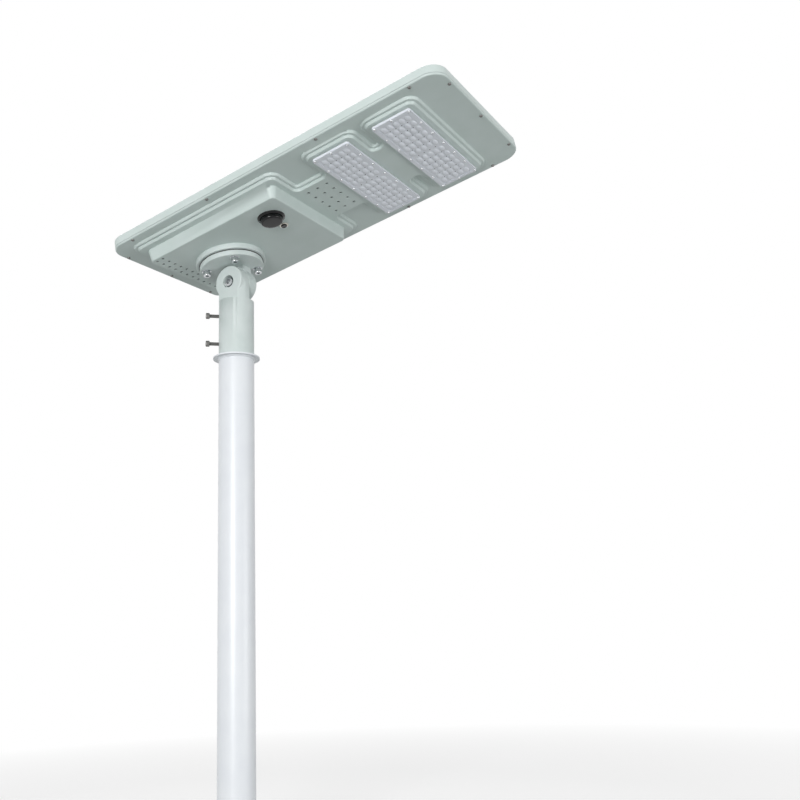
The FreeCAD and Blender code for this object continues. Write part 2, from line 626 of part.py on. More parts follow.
def make_panel():
    glass, ribbon, cell, back = mm(Z_GLASS), mm(Z_RIBBON), mm(Z_CELL), mm(Z_BACK)
    feature("solar_glass", prism(panel_outline(glass), mm("glass_t")), HEAD)
    feature("panel_backsheet", prism(panel_outline(back), mm("backsheet_t")), HEAD)
    lip = mm(Z_LIP)
    outer = prism(panel_outline(lip - mm("glass_seal_t")), mm("glass_seal_t"))
    end, half = mm("border_end"), mm("head_width / 2 - border_side")
    window = rounded_rectangle(half, mm(along("head_length")) + end, mm(along("0")) - end,
                               mm("opening_corner"), lip - mm("glass_seal_t"))
    feature("glass_seal", outer.cut(prism(window, mm("glass_seal_t"))), HEAD)

    middle = mm(along("head_length / 2"))
    pitch, width = mm("cell_row_pitch"), mm("cell_width")
    ribbon_w, deep = mm("ribbon_w"), mm("cell_depth")
    bars = int(mm("cell_bars"))
    cells, ribbons = [], []
    rows = evenly(int(mm("(head_length - 2 * border_end) / cell_row_pitch")), pitch)
    for row, offset in enumerate(rows):
        y = middle + offset
        for side in (-1, 1):
            x = side * (width + mm("cell_column_gap")) / 2
            outline = cell_outline(x, y, cell, row % 4 == 2, row % 4 == 1)
            cells.append(prism(outline, mm("cell_t")))
            for bar in evenly(bars, width / bars):
                ribbons.append(slab(ribbon_w, deep, mm("ribbon_t"), x + bar, y, ribbon))
    group("solar_cells", cells, HEAD)
    group("cell_ribbons", ribbons, HEAD)

    height = f"{Z_BACK} - junction_t"
    case = box("junction_case", "junction_side", "junction_length", "junction_t",
               ("0", along(NECK), height))
    piece("junction_box", case, HEAD)


# --- LED modules ---------------------------------------------------------------------------

def lens_spots(centre):
    """Centres of the sixty lenses of a module: two halves of six columns, five rows."""
    spots = []
    for place_x in evenly(int(mm("lens_columns")), mm("lens_pitch_across")):
        x = place_x + math.copysign(mm("lens_rib / 2"), place_x)
        spots += [(x, centre + y) for y in evenly(int(mm("lens_rows")), mm("lens_pitch_along"))]
    return spots


def module_outline(inset, centre, height):
    half, deep = mm("module_length / 2") - inset, mm("module_width / 2") - inset
    return rounded_rectangle(half, centre - deep, centre + deep, mm("module_corner"), height)


def make_led_module(number, centre):
    deck, lens = mm(Z_DECK), mm(Z_LENS)
    seal_t, lens_t, board_t = mm("led_seal_t"), mm("lens_t"), mm("board_t")
    screws = lens_screw_spots(centre)
    hole = mm("lens_screw_od + slot_gap")
    long_side, short_side = mm("board_length"), mm("board_width")
    board = slab(long_side, short_side, board_t, 0, centre, deck - board_t)
    feature(f"led_board_{number}", board, HEAD)
    side, chip_t = mm("chip_side"), mm("chip_t")
    chips = [slab(side, side, chip_t, x, y, deck - board_t - chip_t) for x, y in lens_spots(centre)]
    group(f"led_chips_{number}", chips, HEAD)

    gap = mm("slot_gap")
    pocket = (long_side + 2 * gap, short_side + 2 * gap)
    seal = prism(module_outline(gap, centre, deck - seal_t), seal_t)
    seal = seal.cut(slab(*pocket, seal_t, 0, centre, deck - seal_t))
    feature(f"led_seal_{number}", seal.cut(through(screws, hole, deck - seal_t, deck)), HEAD)

    top = lens + lens_t
    cavity = mm("lens_cavity")
    plate = round_end(prism(module_outline(0, centre, lens), lens_t), lens, gap)
    plate = plate.cut(slab(*pocket, cavity, 0, centre, top - cavity))
    plate = plate.cut(through(screws, hole, lens, top))
    rise, radius = mm("lens_rise"), mm("lens_radius")
    sphere_r = (radius ** 2 + rise ** 2) / (2 * rise)
    window = slab(mm("module_length"), mm("module_width"), rise + gap, 0, centre, lens - rise)
    domes = [Part.makeSphere(sphere_r, Vec(x, y, lens - rise + sphere_r)) for x, y in lens_spots(centre)]
    domes = [dome.common(window) for dome in domes]
    feature(f"led_lens_{number}", plate.fuse(domes).removeSplitter(), HEAD)

    group(f"lens_screws_{number}",
          [socket_screw(mm("lens_screw_od"), mm("lens_screw_length"), mm("lens_screw_head_od"),
                        mm("lens_screw_head_t"), Vec(x, y, lens), UP) for x, y in screws], HEAD)


# --- Motion sensor and push switch ---------------------------------------------------------

def sensor_spot():
    return (-mm("sensor_offset"), mm(along("sensor_along")))


def switch_spot():
    return (-mm("switch_offset"), mm(along("switch_along")))


def make_sensor():
    face = mm(Z_FACE)
    centre = Vec(*sensor_spot(), face)
    bezel_t, dome_r, rise = mm("sensor_bezel_t"), mm("sensor_dome_od / 2"), mm("sensor_rise")
    low = centre - Vec(0, 0, bezel_t)
    bezel = round_end(Part.makeCylinder(mm("sensor_od / 2"), bezel_t, low), low.z, bezel_t * 0.5)
    feature("sensor_bezel", bezel.cut(Part.makeCylinder(dome_r, bezel_t, low)), HEAD)

    barrel_t = mm("cover_wall + 4")
    outer_r = dome_r - mm("seat_gap")
    end = low - Vec(0, 0, rise)
    dome = Part.makeCylinder(outer_r, rise + bezel_t + barrel_t, end)
    dome = round_end(dome, end.z, mm("sensor_dome_round"))
    wall = mm("sensor_dome_wall")
    hollow = Part.makeCylinder(outer_r - wall, bezel_t + barrel_t, low)
    feature("sensor_dome", dome.cut(hollow), HEAD)
    board = Part.makeCylinder(outer_r - wall - mm("seat_gap"), mm("board_t"), centre)
    feature("sensor_board", board, HEAD)


def make_switch():
    face = mm(Z_FACE)
    x, y = switch_spot()
    lip_t, length = mm("switch_lip_t"), mm("switch_length")
    low = face - lip_t
    body = round_end(Part.makeCylinder(mm("switch_lip_od / 2"), lip_t, Vec(x, y, low)), low, lip_t * 0.4)
    body = body.fuse(Part.makeCylinder(mm("switch_od / 2"), length, Vec(x, y, face))).removeSplitter()
    depth = mm("button_depth + button_travel + seat_gap")
    body = body.cut(Part.makeCylinder(mm("button_od / 2 + seat_gap"), depth, Vec(x, y, low)))
    feature("switch_body", body, HEAD)
    inside = mm(Z_INSIDE)
    nut = hexagon(mm("switch_lip_od + switch_nut_t"), mm("switch_nut_t"), Vec(x, y, inside), UP)
    bore = Part.makeCylinder(mm("switch_od / 2 + running_gap"), mm("switch_nut_t"), Vec(x, y, inside))
    feature("switch_nut", nut.cut(bore), HEAD)
    proud = mm("button_proud")
    button = Part.makeCylinder(mm("button_od / 2"), proud + mm("button_depth"), Vec(x, y, low - proud))
    feature("switch_button", round_end(button, low - proud, proud * 0.3), HEAD)


# --- Battery, charge controller and wiring -------------------------------------------------

def battery_depth():
    """Length of the tray's pocket along Y."""
    return mm("battery_rows * (battery_od + battery_gap) + battery_gap")


def battery_edge():
    """Y of the tray's wall on the LED side."""
    return mm(f"{along('battery_start')} - 2 * tray_wall") - battery_depth()


def make_battery():
    tray, wall = mm(Z_TRAY), mm("tray_wall")
    inside = mm(Z_INSIDE)
    gap, cell_r, length = mm("battery_gap"), mm("battery_od / 2"), mm("battery_length")
    columns, rows = int(mm("battery_columns")), int(mm("battery_rows"))
    wide = columns * (length + gap) + gap + 2 * mm("strap_t")
    deep = battery_depth()
    high_y = mm(along("battery_start"))
    outer = Part.makeBox(wide + 2 * wall, deep + 2 * wall, mm("tray_height"),
                         Vec(-wide / 2 - wall, high_y - deep - 2 * wall, tray))
    pocket = Part.makeBox(wide, deep, mm("tray_height"), Vec(-wide / 2, high_y - deep - wall, tray + wall))
    leg_r = mm("tray_leg_od / 2")
    legs = [Part.makeCylinder(leg_r, tray - inside + wall, Vec(x, y, inside))
            for x in (-wide / 2 + leg_r, wide / 2 - leg_r)
            for y in (high_y - wall - leg_r, high_y - deep - wall + leg_r)]
    feature("battery_tray", outer.fuse(legs).removeSplitter().cut(pocket), HEAD)

    floor_gap = mm("face_gap")
    axis_z = tray + wall + cell_r + floor_gap
    cells = []
    for row in range(rows):
        y = high_y - wall - gap - cell_r - row * (2 * cell_r + gap)
        for column in range(columns):
            x = (column - columns / 2) * (length + gap) + gap / 2
            cells.append(Part.makeCylinder(cell_r, length, Vec(x, y, axis_z), ACROSS))
    group("battery_cells", cells, HEAD)

    bus_t = mm("strap_t / 2")
    bus_x = columns * (length + gap) / 2
    bars = [slab(bus_t, deep - 2 * gap, cell_r, side * (bus_x + bus_t / 2), high_y - wall - deep / 2,
                 tray + wall + cell_r / 2) for side in (-1, 1)]
    group("battery_busbars", bars, HEAD)

    strap_w, strap_t = mm("strap_w"), mm("strap_t")
    top = tray + wall + 2 * cell_r + 2 * floor_gap
    straps = []
    inset = mm("strap_inset")
    for share in (inset, 1 - inset):
        y = high_y - wall - deep * share - strap_w / 2
        bar = Part.makeBox(wide + 2 * wall + 2 * strap_t, strap_w, top + strap_t - tray,
                           Vec(-wide / 2 - wall - strap_t, y, tray))
        hollow = Part.makeBox(wide + 2 * wall, strap_w, top - tray, Vec(-wide / 2 - wall, y, tray))
        straps.append(bar.cut(hollow))
    group("battery_straps", straps, HEAD)


def make_controller():
    inside = mm(Z_INSIDE)
    at = ("controller_offset", along("controller_centre"), Z_INSIDE)
    shell = box("controller_shell", "controller_width", "controller_length", "controller_t", at)
    hollow = box("controller_hollow", "controller_width - 2 * controller_wall",
                 "controller_length - 2 * controller_wall", "controller_t - 2 * controller_wall",
                 (at[0], at[1], f"{Z_INSIDE} + controller_wall"))
    piece("controller_case", cut("controller_wall_case", shell, [hollow]), HEAD)
    board = box("controller_card", "controller_width - 2 * controller_wall - 2 * face_gap",
                "controller_length - 2 * controller_wall - 2 * face_gap", "small_board_t",
                (at[0], at[1], f"{Z_INSIDE} + controller_wall + face_gap"))
    piece("controller_board", board, HEAD)

    x, y = mm("controller_offset"), mm(along("controller_centre"))
    top = inside + mm("controller_t")
    half, deep = mm("controller_width / 2 - post_od"), mm("controller_length / 2 - post_od")
    posts = [Part.makeCylinder(mm("post_od / 2"), mm("post_t"), Vec(x + dx, y + dy, top))
             for dx in (-half, half) for dy in (-deep, deep)]
    group("board_posts", posts, HEAD)
    card = box("protection_card", "controller_width", "controller_length", "small_board_t",
               (at[0], at[1], f"{Z_INSIDE} + controller_t + post_t"))
    piece("protection_board", card, HEAD)


def wire(points):
    """Round wire along straight runs joined by tangent arcs."""
    bend = mm("wire_bend")
    edges = []
    start = points[0]
    for before, corner, after in zip(points, points[1:], points[2:]):
        come, leave = (corner - before).normalize(), (after - corner).normalize()
        half_turn = come.getAngle(leave) / 2
        trim = bend * math.tan(half_turn)
        inward = (leave - come).normalize()
        middle = corner + inward * (bend / math.cos(half_turn) - bend)
        edges.append(Part.makeLine(start, corner - come * trim))
        edges.append(Part.Arc(corner - come * trim, middle, corner + leave * trim).toShape())
        start = corner + leave * trim
    edges.append(Part.makeLine(start, points[-1]))
    route = Part.Wire(edges)
    heading = (points[1] - points[0]).normalize()
    circle = Part.Wire([Part.makeCircle(mm("wire_od / 2"), points[0], heading)])
    return route.makePipeShell([circle], True, False)


def make_wiring():
    card_x, card_y = mm("controller_offset - controller_width / 2"), mm(along("controller_centre"))
    half = mm("controller_length / 2")
    level = mm(f"{Z_INSIDE} + controller_t / 2")
    card_top = mm(f"{Z_INSIDE} + controller_t + post_t + small_board_t")
    bend, side = mm("wire_bend"), mm("wire_lane")
    deck, high = mm(Z_DECK), mm(f"{Z_DECK} + wire_bend + face_gap")
    led_wires = []
    for index, (hole_x, hole_y) in enumerate(cable_holes()):
        y = card_y - half + side * (index + 1)
        led_wires.append(wire([Vec(card_x, y, level), Vec(hole_x, y, level), Vec(hole_x, y, high),
                               Vec(hole_x, hole_y, high), Vec(hole_x, hole_y, deck)]))
    group("led_cables", led_wires, HEAD)

    box_y = mm(along(f"{NECK} - junction_length / 2"))
    height = mm(f"{Z_BACK} - junction_t / 2")
    x = card_x + 2 * side
    route = [Vec(x, box_y, height), Vec(x, card_y - side, height), Vec(x, card_y - side, card_top)]
    feature("panel_cable", wire(route), HEAD)

    tray_y = battery_edge()
    x, middle = card_x + 3 * side, (tray_y + card_y + half) / 2
    upper, lower = mm(f"{Z_TRAY} + tray_height / 2"), mm(f"{Z_INSIDE} + controller_t - 2 * wire_od")
    route = [Vec(x, tray_y, upper), Vec(x, middle, upper), Vec(x, middle, lower)]
    route.append(Vec(x, card_y + half, lower))
    feature("battery_cable", wire(route), HEAD)

    x, y = sensor_spot()
    board_top, stop = mm(f"{Z_FACE} + board_t"), card_y + half - side
    over = card_top + side / 4
    sensor_wire = wire([Vec(x, y, board_top), Vec(x, y, over), Vec(card_x - 2 * side, stop, over),
                        Vec(card_x - 2 * side, stop, level), Vec(card_x, stop, level)])
    x, y = switch_spot()
    over = card_top + bend + mm("wire_od")
    switch_wire = wire([Vec(x, y, mm(f"{Z_FACE} + switch_length")), Vec(x, y, over),
                        Vec(card_x + side, stop, over), Vec(card_x + side, stop, card_top)])
    group("signal_cables", [sensor_wire, switch_wire], HEAD)


make_pole()
make_arm()
make_hinge_fasteners()
make_bracket()
make_bottom_cover()
make_top_frame()
make_panel()
for number, centre in enumerate(module_centres(), start=1):
    make_led_module(number, centre)
make_sensor()
make_switch()
make_battery()
make_controller()
make_wiring()
doc.recompute()

for item in doc.Objects:
    if "Invalid" in item.State or "Error" in item.State:
        raise RuntimeError(f"{item.Label} failed to rebuild: {item.State}")
for item in pieces:
    if item.Shape.isNull() or not item.Shape.isValid() or not item.Shape.Solids:
        raise RuntimeError(f"{item.Label} has no valid solid")

os.makedirs("parts", exist_ok=True)
for item in pieces:
    item.Shape.exportStep(os.path.join("parts", item.Label + ".step"))
print(f"{len(pieces)} sub-parts, hinge axis at Z = {mm(HINGE_HEIGHT):.1f}")
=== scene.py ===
import json
import math

import bpy
from mathutils import Matrix, Vector


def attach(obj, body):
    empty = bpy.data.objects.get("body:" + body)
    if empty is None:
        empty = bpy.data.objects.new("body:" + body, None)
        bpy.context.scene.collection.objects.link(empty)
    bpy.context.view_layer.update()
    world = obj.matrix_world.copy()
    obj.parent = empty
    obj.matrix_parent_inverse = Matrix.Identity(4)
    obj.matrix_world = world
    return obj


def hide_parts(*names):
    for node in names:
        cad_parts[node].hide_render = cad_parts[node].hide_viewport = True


bl_info = {
    "name": "Solar street lamp",
    "version": (1, 0, 0),
    "blender": (4, 5, 0),
    "location": "3D View > Sidebar > Street Lamp",
    "description": "Finished pieces, finishes and studio of a solar street lamp on its pole",
    "category": "Add Mesh",
}

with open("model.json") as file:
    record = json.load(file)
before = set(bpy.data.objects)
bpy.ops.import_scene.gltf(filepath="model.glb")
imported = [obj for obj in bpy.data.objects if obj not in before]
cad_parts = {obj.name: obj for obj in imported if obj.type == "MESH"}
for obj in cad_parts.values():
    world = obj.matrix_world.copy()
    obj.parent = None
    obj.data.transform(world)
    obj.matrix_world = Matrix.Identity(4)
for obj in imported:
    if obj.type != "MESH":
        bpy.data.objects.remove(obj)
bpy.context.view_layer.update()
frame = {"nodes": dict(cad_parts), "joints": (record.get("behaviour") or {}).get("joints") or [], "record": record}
MM = 0.001

# The head's own frame: origin on the hinge axis, X across, -Y towards the LED end, Z from the
# hinge to the panel. The push switch travels along its Z axis.
JOINTS = {joint["name"]: joint for joint in frame["joints"]}
HINGE = Vector(JOINTS["head_tilt"]["pos_m"])
HEAD_UP = Vector(JOINTS["switch_press"]["axis"]).normalized()
HEAD_BACK = HEAD_UP.cross(Vector((1, 0, 0)))
HEAD = Matrix.Translation(HINGE) @ Matrix((
    (1, HEAD_BACK.x, HEAD_UP.x, 0),
    (0, HEAD_BACK.y, HEAD_UP.y, 0),
    (0, HEAD_BACK.z, HEAD_UP.z, 0),
    (0, 0, 0, 1)))
ARM = Matrix.Translation(HINGE)
POLE = Matrix.Identity(4)
SLOTS = {entry["node"]: entry["material_slot"] for entry in frame["record"]["subparts"]}


def span(node, place):
    """Lowest and highest corner of a CAD node in the frame of the body that it belongs to."""
    turn = place.inverted()
    return box_of([turn @ vertex.co for vertex in frame["nodes"][node].data.vertices])


def solids_of(node, place):
    """The points of each separate solid of a CAD node, in the frame of its body."""
    mesh = frame["nodes"][node].data.copy()
    item = bpy.data.objects.new("solids", mesh)
    bpy.context.scene.collection.objects.link(item)
    open_for_editing(item)
    bpy.ops.mesh.remove_doubles(threshold=1e-6)
    bpy.ops.object.mode_set(mode="OBJECT")
    parent = list(range(len(mesh.vertices)))

    def root(index):
        while parent[index] != index:
            parent[index] = parent[parent[index]]
            index = parent[index]
        return index

    for edge in mesh.edges:
        parent[root(edge.vertices[0])] = root(edge.vertices[1])
    groups = {}
    turn = place.inverted()
    for vertex in mesh.vertices:
        groups.setdefault(root(vertex.index), []).append(turn @ vertex.co)
    bpy.data.objects.remove(item)
    return sorted(groups.values(), key=lambda points: tuple(round(value, 4) for value in box_of(points)[0]))


def box_of(points):
    low = Vector([min(point[axis] for point in points) for axis in range(3)])
    high = Vector([max(point[axis] for point in points) for axis in range(3)])
    return low, high


# --- Modelling helpers ---------------------------------------------------------------------

def pick(item):
    """Make item the only selected object."""
    bpy.ops.object.select_all(action="DESELECT")
    item.select_set(True)
    bpy.context.view_layer.objects.active = item


def open_for_editing(item):
    pick(item)
    bpy.ops.object.mode_set(mode="EDIT")
    bpy.ops.mesh.select_mode(type="VERT")
    bpy.ops.mesh.select_all(action="SELECT")


def select_faces(item, test):
    """Select the faces whose centre and normal pass a test, in edit mode."""
    bpy.ops.mesh.select_mode(type="FACE")
    bpy.ops.mesh.select_all(action="DESELECT")
    bpy.ops.object.mode_set(mode="OBJECT")
    for face in item.data.polygons:
        face.select = test(face.center, face.normal)
    bpy.ops.object.mode_set(mode="EDIT")


def modify(item, kind, **settings):
    """Add a modifier and apply it."""
    pick(item)
    modifier = item.modifiers.new(kind.title(), kind)
    for name, value in settings.items():
        setattr(modifier, name, value)
    bpy.ops.object.modifier_apply(modifier=modifier.name)


def settle(item, name, body, material, replaces=(), place=None, angle=30):
    """Name a finished piece, put its place in its mesh, shade it and tie it to its body."""
    pick(item)
    if place is not None:
        item.matrix_world = place @ item.matrix_world
    bpy.ops.object.transform_apply(location=True, rotation=True, scale=True)
    bpy.ops.object.shade_smooth_by_angle(angle=math.radians(angle))
    modify(item, "WEIGHTED_NORMAL", mode="FACE_AREA", weight=100, keep_sharp=True)
    item.name = name
    item.data.name = name
    item.data.materials.clear()
    item.data.materials.append(material)
    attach(item, body)
    if replaces:
        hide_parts(*replaces)
    return item


def turned_piece(rings, segments=48, hollow=False):
    """A round piece about Z through rings of (radius, height) in mm; hollow ones close on themselves."""
    bpy.ops.object.select_all(action="DESELECT")
    radius, height = rings[0]
    bpy.ops.mesh.primitive_circle_add(vertices=segments, radius=radius * MM, location=(0, 0, height * MM),
                                      fill_type="NOTHING" if hollow else "NGON")
    item = bpy.context.object
    bpy.ops.object.transform_apply(location=True, rotation=False, scale=False)
    open_for_editing(item)
    for wider, higher in rings[1:]:
        bpy.ops.mesh.extrude_region_move(TRANSFORM_OT_translate={"value": (0, 0, (higher - height) * MM)})
        growth = wider / radius
        bpy.ops.transform.resize(value=(growth, growth, 1), center_override=(0, 0, higher * MM))
        radius, height = wider, higher
    bpy.ops.mesh.select_all(action="SELECT")
    if hollow:
        bpy.ops.mesh.remove_doubles(threshold=1e-6)
    bpy.ops.mesh.normals_make_consistent(inside=False)
    bpy.ops.object.mode_set(mode="OBJECT")
    return item


def block(low, high, round_mm=0.0, segments=2):
    """A block between two corners in metres, with all its edges rounded."""
    bpy.ops.object.select_all(action="DESELECT")
    size = Vector(high) - Vector(low)
    bpy.ops.mesh.primitive_cube_add(size=1, location=(Vector(low) + Vector(high)) / 2, scale=size)
    item = bpy.context.object
    bpy.ops.object.transform_apply(location=True, rotation=True, scale=True)
    if round_mm:
        open_for_editing(item)
        bpy.ops.mesh.bevel(offset=round_mm * MM, segments=segments, affect="EDGES")
        bpy.ops.object.mode_set(mode="OBJECT")
    return item


def rounded_block(low, high, corner_mm, edge_mm):
    """A flat block with its four upright corners turned and its lower edge eased."""
    item = block(low, high)
    open_for_editing(item)
    bpy.ops.mesh.select_mode(type="EDGE")
    bpy.ops.mesh.select_all(action="DESELECT")
    bpy.ops.object.mode_set(mode="OBJECT")
    points = item.data.vertices
    half = 0.5 * (high.z - low.z)
    for edge in item.data.edges:
        start, end = (points[index].co.z for index in edge.vertices)
        edge.select = abs(start - end) > half
    bpy.ops.object.mode_set(mode="EDIT")
    bpy.ops.mesh.bevel(offset=corner_mm * MM, segments=5, affect="EDGES")
    if edge_mm:
        select_faces(item, lambda centre, normal: normal.z < -0.9)
        bpy.ops.mesh.region_to_loop()
        bpy.ops.mesh.bevel(offset=edge_mm * MM, segments=2, affect="EDGES")
    bpy.ops.object.mode_set(mode="OBJECT")
    return item


def combine(item, tool, operation="DIFFERENCE"):
    """Cut tool out of item, or add it to item, and remove tool."""
    modify(item, "BOOLEAN", object=tool, operation=operation, solver="EXACT")
    bpy.data.objects.remove(tool)
    return item


def cut_socket(item, flats_mm, depth_mm, height_mm):
    """Six-sided socket sunk upwards into an end at height_mm, with a small drill point."""
    bpy.ops.object.select_all(action="DESELECT")
    bpy.ops.mesh.primitive_cylinder_add(vertices=6, radius=flats_mm / math.sqrt(3) * MM,
                                        depth=2 * depth_mm * MM, location=(0, 0, height_mm * MM))
    tool = bpy.context.object
    open_for_editing(tool)
    select_faces(tool, lambda centre, normal: normal.z > 0.9)
    bpy.ops.mesh.inset(thickness=flats_mm * 0.1 * MM)
    bpy.ops.transform.translate(value=(0, 0, flats_mm * 0.12 * MM))
    bpy.ops.object.mode_set(mode="OBJECT")
    return combine(item, tool)


def copies(item, places):
    """Copies of item, one at each place, joined into one piece; item itself is used up."""
    made = []
    for place in places:
        made.append(bpy.data.objects.new(item.name, item.data.copy()))
        bpy.context.scene.collection.objects.link(made[-1])
        made[-1].matrix_world = place
    bpy.data.objects.remove(item)
    pick(made[0])
    for other in made:
        other.select_set(True)
    bpy.ops.object.transform_apply(location=True, rotation=True, scale=True)
    bpy.ops.object.join()
    return made[0]


def finished_copy(node):
    """A copy of a CAD node with its doubles merged and the facets of each flat joined up."""
    item = bpy.data.objects.new(node + "_copy", frame["nodes"][node].data.copy())
    bpy.context.scene.collection.objects.link(item)
    item.data.materials.clear()
    open_for_editing(item)
    bpy.ops.mesh.remove_doubles(threshold=2e-6)
    bpy.ops.mesh.dissolve_limited(angle_limit=math.radians(0.6))
    bpy.ops.object.mode_set(mode="OBJECT")
    return item


# --- Finishes ------------------------------------------------------------------------------

def shade(code):
    """An sRGB hex colour as linear RGBA."""
    channels = [int(code[index:index + 2], 16) / 255 for index in (1, 3, 5)]
    linear = [value / 12.92 if value <= 0.04045 else ((value + 0.055) / 1.055) ** 2.4
              for value in channels]
    return (*linear, 1.0)


def add_node(tree, kind, links=None, **settings):
    """Add a node; links maps an input to a value or to another node's output."""
    node = tree.nodes.new(kind)
    for name, value in settings.items():
        setattr(node, name, value)
    for name, value in (links or {}).items():
        if isinstance(value, bpy.types.NodeSocket):
            tree.links.new(value, node.inputs[name])
        else:
            node.inputs[name].default_value = value
    return node


def new_finish(name, colour, roughness, **sockets):
    """A material with its constants set on the shader; returns it with its tree and shader."""
    material = bpy.data.materials.new(name)
    material.use_nodes = True
    tree = material.node_tree
    shader = tree.nodes["Principled BSDF"]
    shader.inputs["Base Color"].default_value = shade(colour)
    shader.inputs["Roughness"].default_value = roughness
    for label, value in sockets.items():
        shader.inputs[label.replace("_", " ").title().replace("Ior", "IOR")].default_value = value
    return material, tree, shader


def object_point(tree):
    return add_node(tree, "ShaderNodeTexCoord").outputs["Object"]


def mix_colours(tree, factor, first, second):
    """Mix two colours, each a hex value or another node's output."""
    mix = add_node(tree, "ShaderNodeMix", {"Factor": factor}, data_type="RGBA")
    for index, colour in ((6, first), (7, second)):
        if isinstance(colour, str):
            mix.inputs[index].default_value = shade(colour)
        else:
            tree.links.new(colour, mix.inputs[index])
    return mix.outputs[2]


def vary_colour(tree, shader, dark, light, size_mm, detail=3.0):
    """Drift the base colour between two hex values in patches of size_mm."""
    patches = add_node(tree, "ShaderNodeTexNoise",
                       {"Vector": object_point(tree), "Scale": 1000 / size_mm, "Detail": detail})
    ramp = add_node(tree, "ShaderNodeMapRange",
                    {"Value": patches.outputs["Fac"], "From Min": 0.35, "From Max": 0.65})
    tree.links.new(mix_colours(tree, ramp.outputs["Result"], dark, light), shader.inputs["Base Color"])


def raise_grain(tree, shader, size_mm, height_mm, detail=2.0, strength=1.0):
    """Bump of rounded grains size_mm across and height_mm high."""
    grain = add_node(tree, "ShaderNodeTexNoise",
                     {"Vector": object_point(tree), "Scale": 1000 / size_mm, "Detail": detail})
    bump = add_node(tree, "ShaderNodeBump",
                    {"Height": grain.outputs["Fac"], "Distance": height_mm * MM, "Strength": strength})
    tree.links.new(bump.outputs["Normal"], shader.inputs["Normal"])


def powder_coat(name, dark, light, roughness, grain_mm, height_mm):
    """Polyester powder coat: a satin skin with the slight dimpling of an orange's peel."""
    material, tree, shader = new_finish(name, light, roughness, ior=1.5)
    vary_colour(tree, shader, dark, light, 60)
    raise_grain(tree, shader, grain_mm, height_mm)
    return material


def turned_metal(name, colour, roughness, scratch_mm):
    """Bare metal with fine tool marks: metallic, and rough in streaks."""
    material, tree, shader = new_finish(name, colour, roughness, metallic=1.0)
    marks = add_node(tree, "ShaderNodeTexNoise",
                     {"Vector": object_point(tree), "Scale": 1000 / scratch_mm, "Detail": 4.0})
    rough = add_node(tree, "ShaderNodeMapRange",
                     {"Value": marks.outputs["Fac"], "From Min": 0.3, "From Max": 0.7,
                      "To Min": roughness * 0.75, "To Max": roughness * 1.35})
    tree.links.new(rough.outputs["Result"], shader.inputs["Roughness"])
    return material


def moulded_plastic(name, dark, light, roughness, grain_mm=0.6, height_mm=0.02, gloss=0.5):
    """Injection-moulded plastic: even colour with a fine spark-eroded texture."""
    material, tree, shader = new_finish(name, light, roughness, ior=1.49)
    shader.inputs["Specular IOR Level"].default_value = gloss
    vary_colour(tree, shader, dark, light, 12)
    raise_grain(tree, shader, grain_mm, height_mm)
    return material


def silicon_wafer(name):
    """Monocrystalline silicon: blue-black, crossed by faint fingers 1.6 mm apart."""
    material, tree, shader = new_finish(name, "#07080C", 0.3, ior=1.5)
    shader.inputs["Specular IOR Level"].default_value = 0.03
    point = add_node(tree, "ShaderNodeSeparateXYZ", {"Vector": object_point(tree)})
    run = add_node(tree, "ShaderNodeMath", {0: point.outputs["Y"], 1: 1000 / 1.6}, operation="MULTIPLY")
    part = add_node(tree, "ShaderNodeMath", {0: run.outputs[0]}, operation="FRACT")
    line = add_node(tree, "ShaderNodeMath", {0: part.outputs[0], 1: 0.07}, operation="LESS_THAN")
    patches = add_node(tree, "ShaderNodeTexNoise",
                       {"Vector": object_point(tree), "Scale": 14.0, "Detail": 1.0})
    wafer = mix_colours(tree, patches.outputs["Fac"], "#040509", "#0A0C13")
    tree.links.new(mix_colours(tree, line.outputs[0], wafer, "#15171C"), shader.inputs["Base Color"])
    return material


def clear_moulding(name, colour, roughness, ior, grain_mm, height_mm, clarity=1.0, gloss=0.5):
    """Clear or milky plastic or glass: light passes through a faintly rippled surface."""
    material, tree, shader = new_finish(name, colour, roughness, ior=ior, transmission_weight=clarity)
    shader.inputs["Specular IOR Level"].default_value = gloss
    raise_grain(tree, shader, grain_mm, height_mm)
    return material


FINISHES = {}


